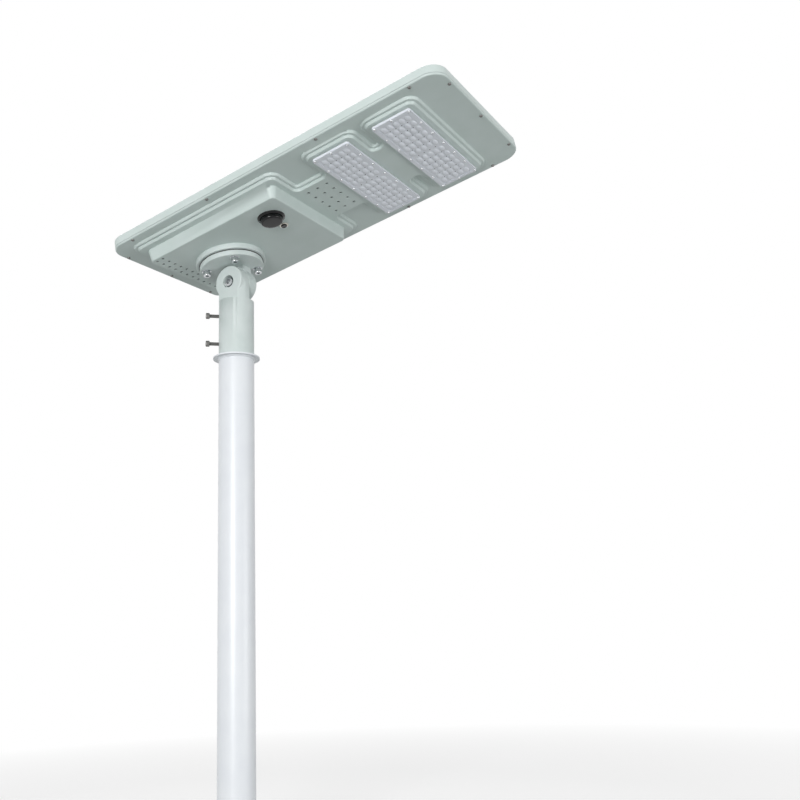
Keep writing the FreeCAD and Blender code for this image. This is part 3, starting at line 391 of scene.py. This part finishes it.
def make_finishes(colours):
    FINISHES.update({
        # Satin powder coat over pressed sheet: pale grey-green, with soft broad highlights
        "head_paint": powder_coat("satin powder coat on pressed sheet", colours.head_dark,
                                  colours.head_light, 0.42, 2.2, 0.02),
        # Textured powder coat over a sand casting: the same tint, pebbly, so highlights break up
        "bracket_paint": powder_coat("textured powder coat on sand casting", colours.bracket_dark,
                                     colours.bracket_light, 0.5, 1.6, 0.09),
        # White powder coat over drawn tube: smooth, with one long highlight down the pole
        "pole_paint": powder_coat("white powder coat on steel tube", colours.pole_dark,
                                  colours.pole_light, 0.33, 3.0, 0.015),
        # Zinc plate: blue-grey metal with a dull, cloudy shine
        "galvanised_steel": turned_metal("zinc plated steel", "#9CA1A6", 0.38, 3.0),
        # Black oxide: dark grey metal that shows its threads by small glints
        "dark_steel": turned_metal("black oxide steel", "#7B7A78", 0.36, 0.8),
        # Polished stainless: bright heads that mirror their surroundings
        "stainless": turned_metal("polished stainless steel", "#C9CCCE", 0.16, 0.7),
        # Filled rubber: black without shine
        "black_rubber": moulded_plastic("black EPDM rubber", "#141515", "#1D1E1E", 0.75, 1.0, 0.03),
        # Silicone rubber: a soft pale line between painted parts
        "grey_rubber": moulded_plastic("pale silicone rubber", "#A3ABA8", "#B2BAB7", 0.6, 1.0, 0.03),
        # Wire cloth: dark behind the breather holes
        "fine_mesh": turned_metal("woven wire cloth", "#4D5052", 0.5, 0.9),
        # Low-iron glass with an anti-reflection coat: clear, with the cells near black under it.
        # An index of 1.12 and weak gloss stand in for the coat; the glass itself has 1.52.
        "panel_glass": clear_moulding("coated tempered glass", "#FAFCFC", 0.06, 1.12, 1.8, 0.006, 1.0, 0.1),
        # Polyester film: the even white lines between the cells
        "white_film": moulded_plastic("white polyester film", "#E6E8EC", "#F2F4F7", 0.45, 2.0, 0.01),
        # Silicon wafer: nearly black, with barely visible fingers
        "silicon": silicon_wafer("monocrystalline silicon wafer"),
        # Tinned copper: thin grey lines across the cells
        "tinned_ribbon": turned_metal("tinned copper ribbon", "#D4D5D6", 0.3, 0.6),
        # Solder: the ribbon's real tabs, made lighter than the ribbon as a painted highlight for the glints at the
        # row ends
        "solder": turned_metal("bright solder", "#F2F2F2", 0.45, 0.8),
        # ABS: plain black with a fine texture
        "black_plastic": moulded_plastic("black ABS", "#101112", "#1A1B1D", 0.5),
        # Solder mask: white, so that the optic over it looks bright
        "led_board": moulded_plastic("white solder mask on aluminium", "#F4F4FA", "#FAFAFF", 0.4, 0.5, 0.01),
        # Phosphor: dull yellow dots
        "led_phosphor": moulded_plastic("silicone phosphor", "#8A8468", "#A09A80", 0.35, 0.4, 0.02),
        # Polycarbonate optic: bluish white and milky, with small highlights on each lens
        "lens_plastic": clear_moulding("moulded polycarbonate optic", "#F3F6FF", 0.1, 1.585, 1.2, 0.02, 0.1),
        # Polished polycarbonate: black with a sharp shine round the sensor
        "gloss_black": moulded_plastic("polished black polycarbonate", "#050506", "#09090B",
                                       0.1, 2.0, 0.002, 0.3),
        # Solder mask: dark green of the boards inside the box
        "circuit_board": moulded_plastic("green solder mask on fibreglass", "#0C4526", "#125A33",
                                         0.35, 0.4, 0.01),
        # Nickel plate: warm bright ring round the switch
        "nickel_brass": turned_metal("nickel plated brass", "#BEBBB2", 0.22, 0.8),
        # Acetal: black with a waxy sheen
        "black_button": moulded_plastic("black acetal", "#0D0D0E", "#161617", 0.35, 0.5, 0.01),
        # Shrink sleeve: blue, slightly wrinkled
        "battery_sleeve": moulded_plastic("blue PVC shrink sleeve", "#1B4C86", "#2560A0", 0.3, 1.5, 0.02),
        # Webbing: black and dull, with a coarse grain
        "strap": moulded_plastic("woven nylon webbing", "#101010", "#1B1B1B", 0.8, 0.7, 0.1),
        # Anodised aluminium: even dark grey metal
        "controller_shell": turned_metal("grey anodised aluminium", "#5D6064", 0.45, 0.5),
        # PVC insulation: red with a soft shine
        "red_wire": moulded_plastic("red PVC insulation", "#8A1410", "#A81D18", 0.4, 2.0, 0.01),
    })


# --- Settings ------------------------------------------------------------------------------

class LampColours(bpy.types.PropertyGroup):
    head_light: bpy.props.StringProperty(name="Head", description="Paint of the head, light patches",
                                           default="#CDD8D6")
    head_dark: bpy.props.StringProperty(name="Head, dark", description="Paint of the head, dark patches",
                                        default="#C8D4D1")
    bracket_light: bpy.props.StringProperty(name="Bracket", description="Paint of sleeve and flange",
                                            default="#D3DBDA")
    bracket_dark: bpy.props.StringProperty(name="Bracket, dark", description="Paint in the casting's hollows",
                                           default="#C8D2D0")
    pole_light: bpy.props.StringProperty(name="Pole", description="Paint of the pole", default="#E7EAEE")
    pole_dark: bpy.props.StringProperty(name="Pole, dark", description="Paint of the pole, dark patches",
                                        default="#E3E6EB")


class LampSizes(bpy.types.PropertyGroup):
    lens_rise: bpy.props.FloatProperty(name="Lens height", description="Height of each LED lens in mm",
                                       default=1.8)
    lens_half_long: bpy.props.FloatProperty(name="Half lens length", description="Across the head, in mm",
                                            default=9.7)
    lens_half_wide: bpy.props.FloatProperty(name="Half lens width", description="Along the head, in mm",
                                            default=5.9)
    optic_corner: bpy.props.FloatProperty(name="Optic corner", description="Corner radius in mm", default=5.0)
    optic_border: bpy.props.FloatProperty(name="Optic border", description="Solid border in mm", default=8.25)
    tab_length: bpy.props.FloatProperty(name="Solder tab", description="Length of a ribbon's tab in mm",
                                        default=6.0)


class LampStudio(bpy.types.PropertyGroup):
    lens_mm: bpy.props.FloatProperty(name="Focal length", description="Camera focal length in millimetres",
                                     default=42.8)
    camera_away: bpy.props.FloatVectorProperty(name="Camera", description="Camera's place from the hinge",
                                               default=(-1.5437, -1.2831, -0.7610), unit="LENGTH")
    camera_aim: bpy.props.FloatVectorProperty(name="Aim", description="Direction in which the camera looks",
                                              default=(0.8438, 0.4811, 0.2379))
    camera_up: bpy.props.FloatVectorProperty(name="Up", description="Top of the picture",
                                             default=(-0.1856, -0.1545, 0.9704))
    key_power: bpy.props.FloatProperty(name="Key light", description="Power of the large soft light",
                                       default=100.0)
    fill_power: bpy.props.FloatProperty(name="Fill light", description="Power of the weak light",
                                        default=34.0)
    top_power: bpy.props.FloatProperty(name="Top light", description="Power of the light over the panel",
                                       default=45.0)


# Each lamp's place and aim in the frame, and its diameter, in metres
LAMPS = {
    "key": ((-3.9, -1.25, 0.95), (0, -0.2, 1.2), 1.8),
    "fill": ((0.5, -3.3, 0.3), (0, -0.2, 1.1), 1.8),
    "top": ((0.4, 0.8, 4.0), (0, -0.2, 1.2), 2.6),
}
# Distances in metres over which the floor fades to plain white to the eye, so that no horizon shows
FADE_START, FADE_END = 1.2, 2.6


# --- Pieces --------------------------------------------------------------------------------

class LAMP_OT_finishes(bpy.types.Operator):
    """Make every finish and give it to the CAD pieces that stay in view"""
    bl_idname = "lamp.finishes"
    bl_label = "Finishes"

    def execute(self, context):
        make_finishes(context.scene.lamp_colours)
        for name, node in frame["nodes"].items():
            node.data.materials.clear()
            node.data.materials.append(FINISHES[SLOTS[name]])
        return {"FINISHED"}


class LAMP_OT_stage(bpy.types.Operator):
    """Pale floor, soft lights, white surroundings and the camera"""
    bl_idname = "lamp.stage"
    bl_label = "Studio"

    def execute(self, context):
        studio = context.scene.lamp_studio
        bpy.ops.object.select_all(action="DESELECT")
        bpy.ops.mesh.primitive_plane_add(size=60, location=(0, 0, -0.0005))
        floor = context.object
        floor.name = "floor"
        floor.data.materials.append(self.floor_finish())
        self.surroundings(context.scene)
        for name, (place, aim, size) in LAMPS.items():
            self.lamp(context, name, place, aim, size, getattr(studio, name + "_power"))
        self.camera(context, studio)
        return {"FINISHED"}

    def floor_finish(self):
        """White to the eye, with the lamp's shadow near its foot; grey to the light it sends up"""
        material, tree, shader = new_finish("matt white studio floor", "#FFFFFF", 0.9)
        path = add_node(tree, "ShaderNodeLightPath")
        seen = add_node(tree, "ShaderNodeMath",
                        {0: path.outputs["Is Camera Ray"], 1: path.outputs["Is Glossy Ray"]},
                        operation="MAXIMUM")
        tree.links.new(mix_colours(tree, seen.outputs[0], "#868B89", "#FFFFFF"), shader.inputs["Base Color"])
        away = add_node(tree, "ShaderNodeVectorMath", {0: object_point(tree)}, operation="LENGTH")
        far = add_node(tree, "ShaderNodeMapRange",
                       {"Value": away.outputs["Value"], "From Min": FADE_START, "From Max": FADE_END})
        plain = add_node(tree, "ShaderNodeMath", {0: far.outputs["Result"], 1: seen.outputs[0]},
                         operation="MULTIPLY")
        white = add_node(tree, "ShaderNodeEmission", {"Color": (1, 1, 1, 1), "Strength": 1.0})
        blend = add_node(tree, "ShaderNodeMixShader",
                         {0: plain.outputs[0], 1: shader.outputs[0], 2: white.outputs[0]})
        tree.links.new(blend.outputs[0], tree.nodes["Material Output"].inputs["Surface"])
        return material

    def surroundings(self, scene):
        """White to the eye; as light, bright above and beside the lamp and dim below it"""
        scene.world = bpy.data.worlds.new("white studio")
        scene.world.use_nodes = True
        tree = scene.world.node_tree
        tree.nodes.clear()
        place = add_node(tree, "ShaderNodeTexCoord")
        height = add_node(tree, "ShaderNodeSeparateXYZ", {"Vector": place.outputs["Generated"]})
        dim = add_node(tree, "ShaderNodeMapRange",
                       {"Value": height.outputs["Z"], "From Min": -0.35, "From Max": 0.15,
                        "To Min": 0.3, "To Max": 0.55})
        path = add_node(tree, "ShaderNodeLightPath")
        looked = add_node(tree, "ShaderNodeMath",
                          {0: path.outputs["Is Camera Ray"], 1: path.outputs["Is Glossy Ray"]},
                          operation="MAXIMUM")
        seen = add_node(tree, "ShaderNodeMath",
                        {0: looked.outputs[0], 1: path.outputs["Is Transmission Ray"]},
                        operation="MAXIMUM")
        strength = add_node(tree, "ShaderNodeMix", {"Factor": seen.outputs[0]}, data_type="FLOAT")
        tree.links.new(dim.outputs["Result"], strength.inputs[2])
        strength.inputs[3].default_value = 1.0
        light = add_node(tree, "ShaderNodeBackground",
                         {"Color": (1, 1, 1, 1), "Strength": strength.outputs[0]})
        out = add_node(tree, "ShaderNodeOutputWorld")
        tree.links.new(light.outputs[0], out.inputs["Surface"])

    def lamp(self, context, name, place, aim, size, power):
        light = bpy.data.lights.new(name, "AREA")
        light.shape = "DISK"
        light.size = size
        light.energy = power
        item = bpy.data.objects.new(name, light)
        context.scene.collection.objects.link(item)
        item.location = place
        item.rotation_euler = (Vector(aim) - Vector(place)).to_track_quat("-Z", "Y").to_euler()

    def camera(self, context, studio):
        data = bpy.data.cameras.new("camera")
        data.lens = studio.lens_mm
        data.sensor_width = 36
        data.clip_start, data.clip_end = 0.05, 100
        item = bpy.data.objects.new("camera", data)
        context.scene.collection.objects.link(item)
        ahead = Vector(studio.camera_aim).normalized()
        right = ahead.cross(Vector(studio.camera_up)).normalized()
        up = right.cross(ahead)
        turn = Matrix((right, up, -ahead)).transposed().to_4x4()
        item.matrix_world = Matrix.Translation(HINGE + Vector(studio.camera_away)) @ turn
        context.scene.camera = item
        context.scene.view_settings.view_transform = "Standard"


class LAMP_OT_painted_shells(bpy.types.Operator):
    """Painted and rubber shells with their facets joined into smooth surfaces"""
    bl_idname = "lamp.painted_shells"
    bl_label = "Painted shells"

    def execute(self, context):
        for node in ("pole_tube", "pole_collar", "pole_spigot"):
            self.smooth(node, "pole")
        self.smooth("pole_sleeve", "arm")
        for node in ("bracket_flange", "flange_gasket", "mounting_pad", "bottom_cover", "top_frame",
                     "frame_seal"):
            self.smooth(node, "head")
        return {"FINISHED"}

    def smooth(self, node, body):
        slot = SLOTS[node]
        settle(finished_copy(node), node + "_skin", body, FINISHES[slot], [node], angle=32)


class LAMP_OT_weld_bead(bpy.types.Operator):
    """Bead of weld where the collar meets the pole"""
    bl_idname = "lamp.weld_bead"
    bl_label = "Weld bead"

    def execute(self, context):
        low, high = span("pole_tube", POLE)
        radius, height = high.x / MM, high.z / MM
        rings = [(radius - 0.4, height), (radius + 3, height), (radius + 2.6, height - 1.2),
                 (radius + 1.4, height - 2.4), (radius + 0.2, height - 3.2), (radius - 0.4, height - 3.2),
                 (radius - 0.4, height)]
        bead = turned_piece(rings, segments=96, hollow=True)
        settle(bead, "collar_weld", "pole", FINISHES["pole_paint"], place=POLE, angle=50)
        return {"FINISHED"}


class LAMP_OT_optics(bpy.types.Operator):
    """Milky plate of sixty long lenses over each LED module"""
    bl_idname = "lamp.optics"
    bl_label = "LED optics"

    def execute(self, context):
        sizes = context.scene.lamp_sizes
        for number in (1, 2):
            node = f"led_lens_{number}"
            low, high = span(node, HEAD)
            chips = [sum(points, Vector()) / len(points) for points in solids_of(f"led_chips_{number}", HEAD)]
            rise = sizes.lens_rise * MM
            plate = self.plate(low + Vector((0, 0, rise)), high, sizes)
            places = [Matrix.Translation((chip.x, chip.y, low.z + rise)) for chip in chips]
            plate = combine(plate, copies(self.lens(sizes), places), "UNION")
            open_for_editing(plate)
            bpy.ops.mesh.normals_make_consistent(inside=False)
            bpy.ops.object.mode_set(mode="OBJECT")
            settle(plate, node + "_optic", "head", FINISHES["lens_plastic"], [node], HEAD,
                   angle=35)
            self.trim(number, low + Vector((0, 0, rise)), high, sizes)
            # Black dots in the pockets between the lenses: painted shade
            self.shade_dots(number, chips, low.z + rise)
        return {"FINISHED"}

    def trim(self, number, low, high, sizes):
        """Raised border of the moulding, where its screws go through"""
        lap = Vector((sizes.optic_border * MM, sizes.optic_border * MM, 0))
        proud = Vector((0, 0, 0.7 * MM))
        outer = rounded_block(low - proud, Vector((high.x, high.y, low.z + 0.3 * MM)),
                              sizes.optic_corner, 0.4)
        inner = rounded_block(low - 2 * proud + lap, Vector((high.x, high.y, low.z + 1 * MM)) - lap, 3, 0)
        settle(combine(outer, inner), f"led_trim_{number}", "head", FINISHES["lens_plastic"],
               place=HEAD, angle=35)

    def shade_dots(self, number, chips, face):
        """Painted shade: small black dots set in the optic, one in the pocket between every four lenses"""
        across = sorted({round(chip.x, 4) for chip in chips})
        along = sorted({round(chip.y, 4) for chip in chips})
        places = [Matrix.Translation(((a + b) / 2, (c + d) / 2, face)) for a, b in zip(across, across[1:])
                  for c, d in zip(along, along[1:])]
        shade_plug = turned_piece([(0.9, -0.25), (1.15, 0), (1.15, 0.3)], 10)
        settle(copies(shade_plug, places), f"optic_pegs_{number}", "head", FINISHES["black_plastic"],
               place=HEAD)

    def plate(self, low, high, sizes):
        plate = rounded_block(low, high, sizes.optic_corner, 0.8)
        open_for_editing(plate)
        select_faces(plate, lambda centre, normal: normal.z > 0.9)
        bpy.ops.mesh.inset(thickness=sizes.optic_border * MM)
        bpy.ops.mesh.extrude_region_move(TRANSFORM_OT_translate={"value": (0, 0, -2.2 * MM)})
        bpy.ops.object.mode_set(mode="OBJECT")
        return plate

    def lens(self, sizes):
        """One long dome that hangs from Z = 0, with a foot sunk into the plate"""
        rise = sizes.lens_rise
        rings = [(1, 0.4), (1, 0), (0.86, -0.55 * rise), (0.56, -0.86 * rise), (0.2, -rise)]
        lens = turned_piece(rings, segments=14)
        open_for_editing(lens)
        bpy.ops.transform.resize(value=(sizes.lens_half_long, sizes.lens_half_wide, 1),
                                 center_override=(0, 0, 0))
        bpy.ops.object.mode_set(mode="OBJECT")
        return lens


class LAMP_OT_motion_sensor(bpy.types.Operator):
    """Glossy bezel and rounded window of the motion sensor"""
    bl_idname = "lamp.motion_sensor"
    bl_label = "Motion sensor"

    def execute(self, context):
        low, high = span("sensor_bezel", HEAD)
        centre = (low + high) / 2
        deep, outer = (high.z - low.z) / MM, (high.x - low.x) / 2 / MM
        window_low, window_high = span("sensor_dome", HEAD)
        inner = (window_high.x - window_low.x) / 2 / MM
        rings = [(inner + 0.3, 0), (outer, 0), (outer, -deep * 0.2), (outer - 0.7, -deep * 0.42),
                 (inner + 1.9, -deep * 0.93), (inner + 1.3, -deep), (inner + 0.6, -deep * 0.95),
                 (inner + 0.3, -deep * 0.8), (inner + 0.3, 0)]
        place = HEAD @ Matrix.Translation((centre.x, centre.y, high.z))
        settle(turned_piece(rings, 64, hollow=True), "sensor_ring", "head", FINISHES["gloss_black"],
               ["sensor_bezel"], place, angle=40)
        top = (window_high.z - high.z) / MM
        drop = (window_low.z - high.z) / MM
        rings = [(inner, top), (inner, drop + 4), (inner - 0.3, drop + 2.5), (inner - 1.2, drop + 1.2),
                 (inner - 2.5, drop + 0.45), (inner - 4, drop + 0.15), (inner * 0.5, drop),
                 (inner * 0.15, drop)]
        settle(turned_piece(rings, 64), "sensor_window", "head", FINISHES["gloss_black"],
               ["sensor_dome"], place, angle=50)
        return {"FINISHED"}


class LAMP_OT_push_switch(bpy.types.Operator):
    """Nickel collar and dished black button of the push switch"""
    bl_idname = "lamp.push_switch"
    bl_label = "Push switch"

    def execute(self, context):
        low, high = span("switch_body", HEAD)
        button_low, button_high = span("switch_button", HEAD)
        centre = (low + high) / 2
        lip, button = (high.x - low.x) / 2 / MM, (button_high.x - button_low.x) / 2 / MM
        place = HEAD @ Matrix.Translation((centre.x, centre.y, low.z))
        barrel, tall, bore = lip - 1.5, (high.z - low.z) / MM, button + 0.3
        rings = [(bore, 9), (bore, 0.5), (bore + 0.5, 0), (lip - 1, 0), (lip - 0.3, 0.3), (lip, 0.9),
                 (lip, 2), (barrel, 2), (barrel, tall), (2, tall), (2, 9), (bore, 9)]
        settle(turned_piece(rings, 48, hollow=True), "switch_collar", "head", FINISHES["nickel_brass"],
               ["switch_body"], place, angle=35)
        drop, top = (button_low.z - low.z) / MM, (button_high.z - low.z) / MM
        rings = [(button, top), (button, drop + 0.7), (button - 0.25, drop + 0.2), (button - 0.8, drop),
                 (button - 1.3, drop + 0.1), (button * 0.5, drop + 0.5), (button * 0.15, drop + 0.6)]
        settle(turned_piece(rings, 48), "push_button", "button", FINISHES["black_button"],
               ["switch_button"], place, angle=35)
        return {"FINISHED"}


class LAMP_OT_screws(bpy.types.Operator):
    """Socket screws of the hinge and flange, the flange screws' washers, set screws and small panel screws"""
    bl_idname = "lamp.screws"
    bl_label = "Screws"

    def execute(self, context):
        self.flange_bolts()
        self.hinge_bolt()
        self.set_screws()
        self.small_screws("edge_screws", "dark_steel")
        self.small_screws("lens_screws_1", "stainless")
        self.small_screws("lens_screws_2", "stainless")
        return {"FINISHED"}

    def cap_screw(self, shank, length, head, head_tall, flutes=False, thread=0.0):
        """Socket cap screw seated at Z = 0 with its head below and its shank above"""
        edge = head_tall * 0.1
        rings = [(head - edge * 1.4, -head_tall), (head - edge * 0.5, -head_tall + edge * 0.4),
                 (head, -head_tall + edge * 1.4), (head, -edge), (head - edge, 0), (shank, 0)]
        height = 0.4
        while thread and height + thread < length - 1:
            rings += [(shank, height), (shank * 0.87, height + thread / 2)]
            height += thread
        rings += [(shank, length - 1), (shank - 0.8, length)]
        screw = turned_piece(rings, segments=48 if flutes else 40)
        if flutes:
            open_for_editing(screw)
            bpy.ops.mesh.select_mode(type="VERT")
            bpy.ops.mesh.select_all(action="DESELECT")
            bpy.ops.object.mode_set(mode="OBJECT")
            for vertex in screw.data.vertices:
                turn = round(math.atan2(vertex.co.y, vertex.co.x) / (2 * math.pi) * 48)
                outside = vertex.co.xy.length > head * 0.97 * MM and vertex.co.z < -edge * 0.5 * MM
                vertex.select = outside and turn % 2 == 0
            bpy.ops.object.mode_set(mode="EDIT")
            bpy.ops.transform.resize(value=(0.95, 0.95, 1), center_override=(0, 0, 0))
            bpy.ops.object.mode_set(mode="OBJECT")
        return cut_socket(screw, head, head_tall * 0.55, -head_tall)

    def flange_bolts(self):
        solids = [box_of(points) for points in solids_of("flange_bolts", HEAD)]
        washers = [box_of(points) for points in solids_of("flange_washers", HEAD)]
        seat = washers[0][0].z
        low, high = solids[0]
        head = (high.x - low.x) / 2 / MM
        screw = self.cap_screw(5, (high.z - seat) / MM, head, (seat - low.z) / MM)
        places = [Matrix.Translation(((a.x + b.x) / 2, (a.y + b.y) / 2, seat)) for a, b in solids]
        settle(copies(screw, places), "flange_screws", "head", FINISHES["stainless"],
               ["flange_bolts"], HEAD, angle=35)
        low, high = washers[0]
        outer, deep = (high.x - low.x) / 2 / MM, (high.z - low.z) / MM
        rings = [(5.1, deep), (5.1, 0.2), (5.5, 0), (outer - 0.5, 0), (outer, 0.4), (outer, deep),
                 (5.1, deep)]
        washer = turned_piece(rings, 40, hollow=True)
        settle(copies(washer, places), "flange_screw_washers", "head", FINISHES["stainless"],
               ["flange_washers"], HEAD, angle=35)

    def hinge_bolt(self):
        low, high = span("hinge_bolt", ARM)
        washer_low, washer_high = span("hinge_washers", ARM)
        head = (high.y - low.y) / 2 / MM
        head_tall = (washer_low.x - low.x) / MM
        screw = self.cap_screw(7, (high.x - washer_low.x) / MM, head, head_tall)
        place = ARM @ Matrix.Translation((washer_low.x, 0, 0)) @ Matrix.Rotation(math.pi / 2, 4, "Y")
        settle(screw, "hinge_screw", "arm", FINISHES["stainless"], ["hinge_bolt"], place,
               angle=35)

    def set_screws(self):
        places = []
        for points in solids_of("set_screws", ARM):
            low, high = box_of(points)
            outward = Vector((low.x + high.x, low.y + high.y, 0)).normalized()
            reach = [point.dot(outward) for point in points]
            tall = 8 * MM
            seat = outward * (max(reach) - tall) + Vector((0, 0, (low.z + high.z) / 2))
            length = (max(reach) - tall - min(reach)) / MM
            places.append(Matrix.Translation(seat) @ (-outward).to_track_quat("Z", "Y").to_matrix().to_4x4())
        head = (high.z - low.z) / 2 / MM
        screw = self.cap_screw(4, length, head, 8, flutes=True, thread=1.5)
        settle(copies(screw, places), "sleeve_screws", "arm", FINISHES["dark_steel"],
               ["set_screws"], ARM, angle=25)

    def small_screws(self, node, slot):
        """Pan heads with a cross recess"""
        solids = [box_of(points) for points in solids_of(node, HEAD)]
        low, high = solids[0]
        head, length = (high.x - low.x) / 2 / MM, (high.z - low.z) / MM
        tall = head * 0.64
        shank = head * 0.55
        rings = [(head * 0.5, -tall), (head * 0.78, -tall * 0.93), (head * 0.95, -tall * 0.66),
                 (head, -tall * 0.3), (head, 0), (shank, 0), (shank, length - tall - 0.6),
                 (shank * 0.6, length - tall)]
        screw = turned_piece(rings, segments=20)
        half, thin, deep = head * 0.55 * MM, head * 0.13 * MM, tall * 0.6 * MM
        bottom = -tall * 1.2 * MM
        cross = combine(block((-half, -thin, bottom), (half, thin, -tall * MM + deep)),
                        block((-thin, -half, bottom), (thin, half, -tall * MM + deep)), "UNION")
        screw = combine(screw, cross)
        places = [Matrix.Translation(((a.x + b.x) / 2, (a.y + b.y) / 2, a.z + tall * MM)) for a, b in solids]
        settle(copies(screw, places), node + "_set", "head", FINISHES[slot], [node], HEAD,
               angle=35)


class LAMP_OT_cell_ribbons(bpy.types.Operator):
    """Tinned ribbons along the cells, each with a soldered tab at one end"""
    bl_idname = "lamp.cell_ribbons"
    bl_label = "Cell ribbons"

    def execute(self, context):
        tab = context.scene.lamp_sizes.tab_length * MM
        solids = [box_of(points) for points in solids_of("cell_ribbons", HEAD)]
        low, high = solids[0]
        half, long, tall = (high.x - low.x) / 2, high.y - low.y, high.z - low.z
        ribbon = block((-half, tab, 0), (half, long, tall), 0.1, 1)
        tip = block((-1.5 * half, 0, 0), (1.5 * half, tab, tall), 0.12, 2)
        places = []
        for low, high in solids:
            middle = (low.x + high.x) / 2
            if middle < 0:
                places.append(Matrix.Translation((middle, low.y, low.z)))
            else:
                places.append(Matrix.Translation((middle, high.y, low.z)) @ Matrix.Rotation(math.pi, 4, "Z"))
        settle(copies(ribbon, places), "ribbon_runs", "head", FINISHES["tinned_ribbon"],
               ["cell_ribbons"], HEAD)
        # The tabs' lighter metal is in part a painted highlight for the glints at the row ends
        settle(copies(tip, places), "ribbon_tabs", "head", FINISHES["solder"], place=HEAD)
        return {"FINISHED"}


PIECES = (LAMP_OT_finishes, LAMP_OT_painted_shells, LAMP_OT_weld_bead, LAMP_OT_optics, LAMP_OT_motion_sensor,
          LAMP_OT_push_switch, LAMP_OT_screws, LAMP_OT_cell_ribbons)


class LAMP_PT_pieces(bpy.types.Panel):
    """Buttons that make the lamp's pieces"""
    bl_label = "Solar street lamp"
    bl_idname = "LAMP_PT_pieces"
    bl_space_type = "VIEW_3D"
    bl_region_type = "UI"
    bl_category = "Street Lamp"

    def draw(self, context):
        column = self.layout.column()
        for piece in (*PIECES, LAMP_OT_stage):
            column.operator(piece.bl_idname)
        for name in ("head_light", "bracket_light", "pole_light"):
            column.prop(context.scene.lamp_colours, name)
        column.prop(context.scene.lamp_studio, "lens_mm")


CLASSES = (LampColours, LampSizes, LampStudio, *PIECES, LAMP_OT_stage, LAMP_PT_pieces)


def register():
    for item in CLASSES:
        bpy.utils.register_class(item)
    bpy.types.Scene.lamp_colours = bpy.props.PointerProperty(type=LampColours)
    bpy.types.Scene.lamp_sizes = bpy.props.PointerProperty(type=LampSizes)
    bpy.types.Scene.lamp_studio = bpy.props.PointerProperty(type=LampStudio)


def unregister():
    del bpy.types.Scene.lamp_studio
    del bpy.types.Scene.lamp_sizes
    del bpy.types.Scene.lamp_colours
    for item in reversed(CLASSES):
        bpy.utils.unregister_class(item)


def main():
    register()
    for item in (LAMP_OT_stage, *PIECES):
        group, name = item.bl_idname.split(".")
        getattr(getattr(bpy.ops, group), name)()


if __name__ == "__main__":
    main()
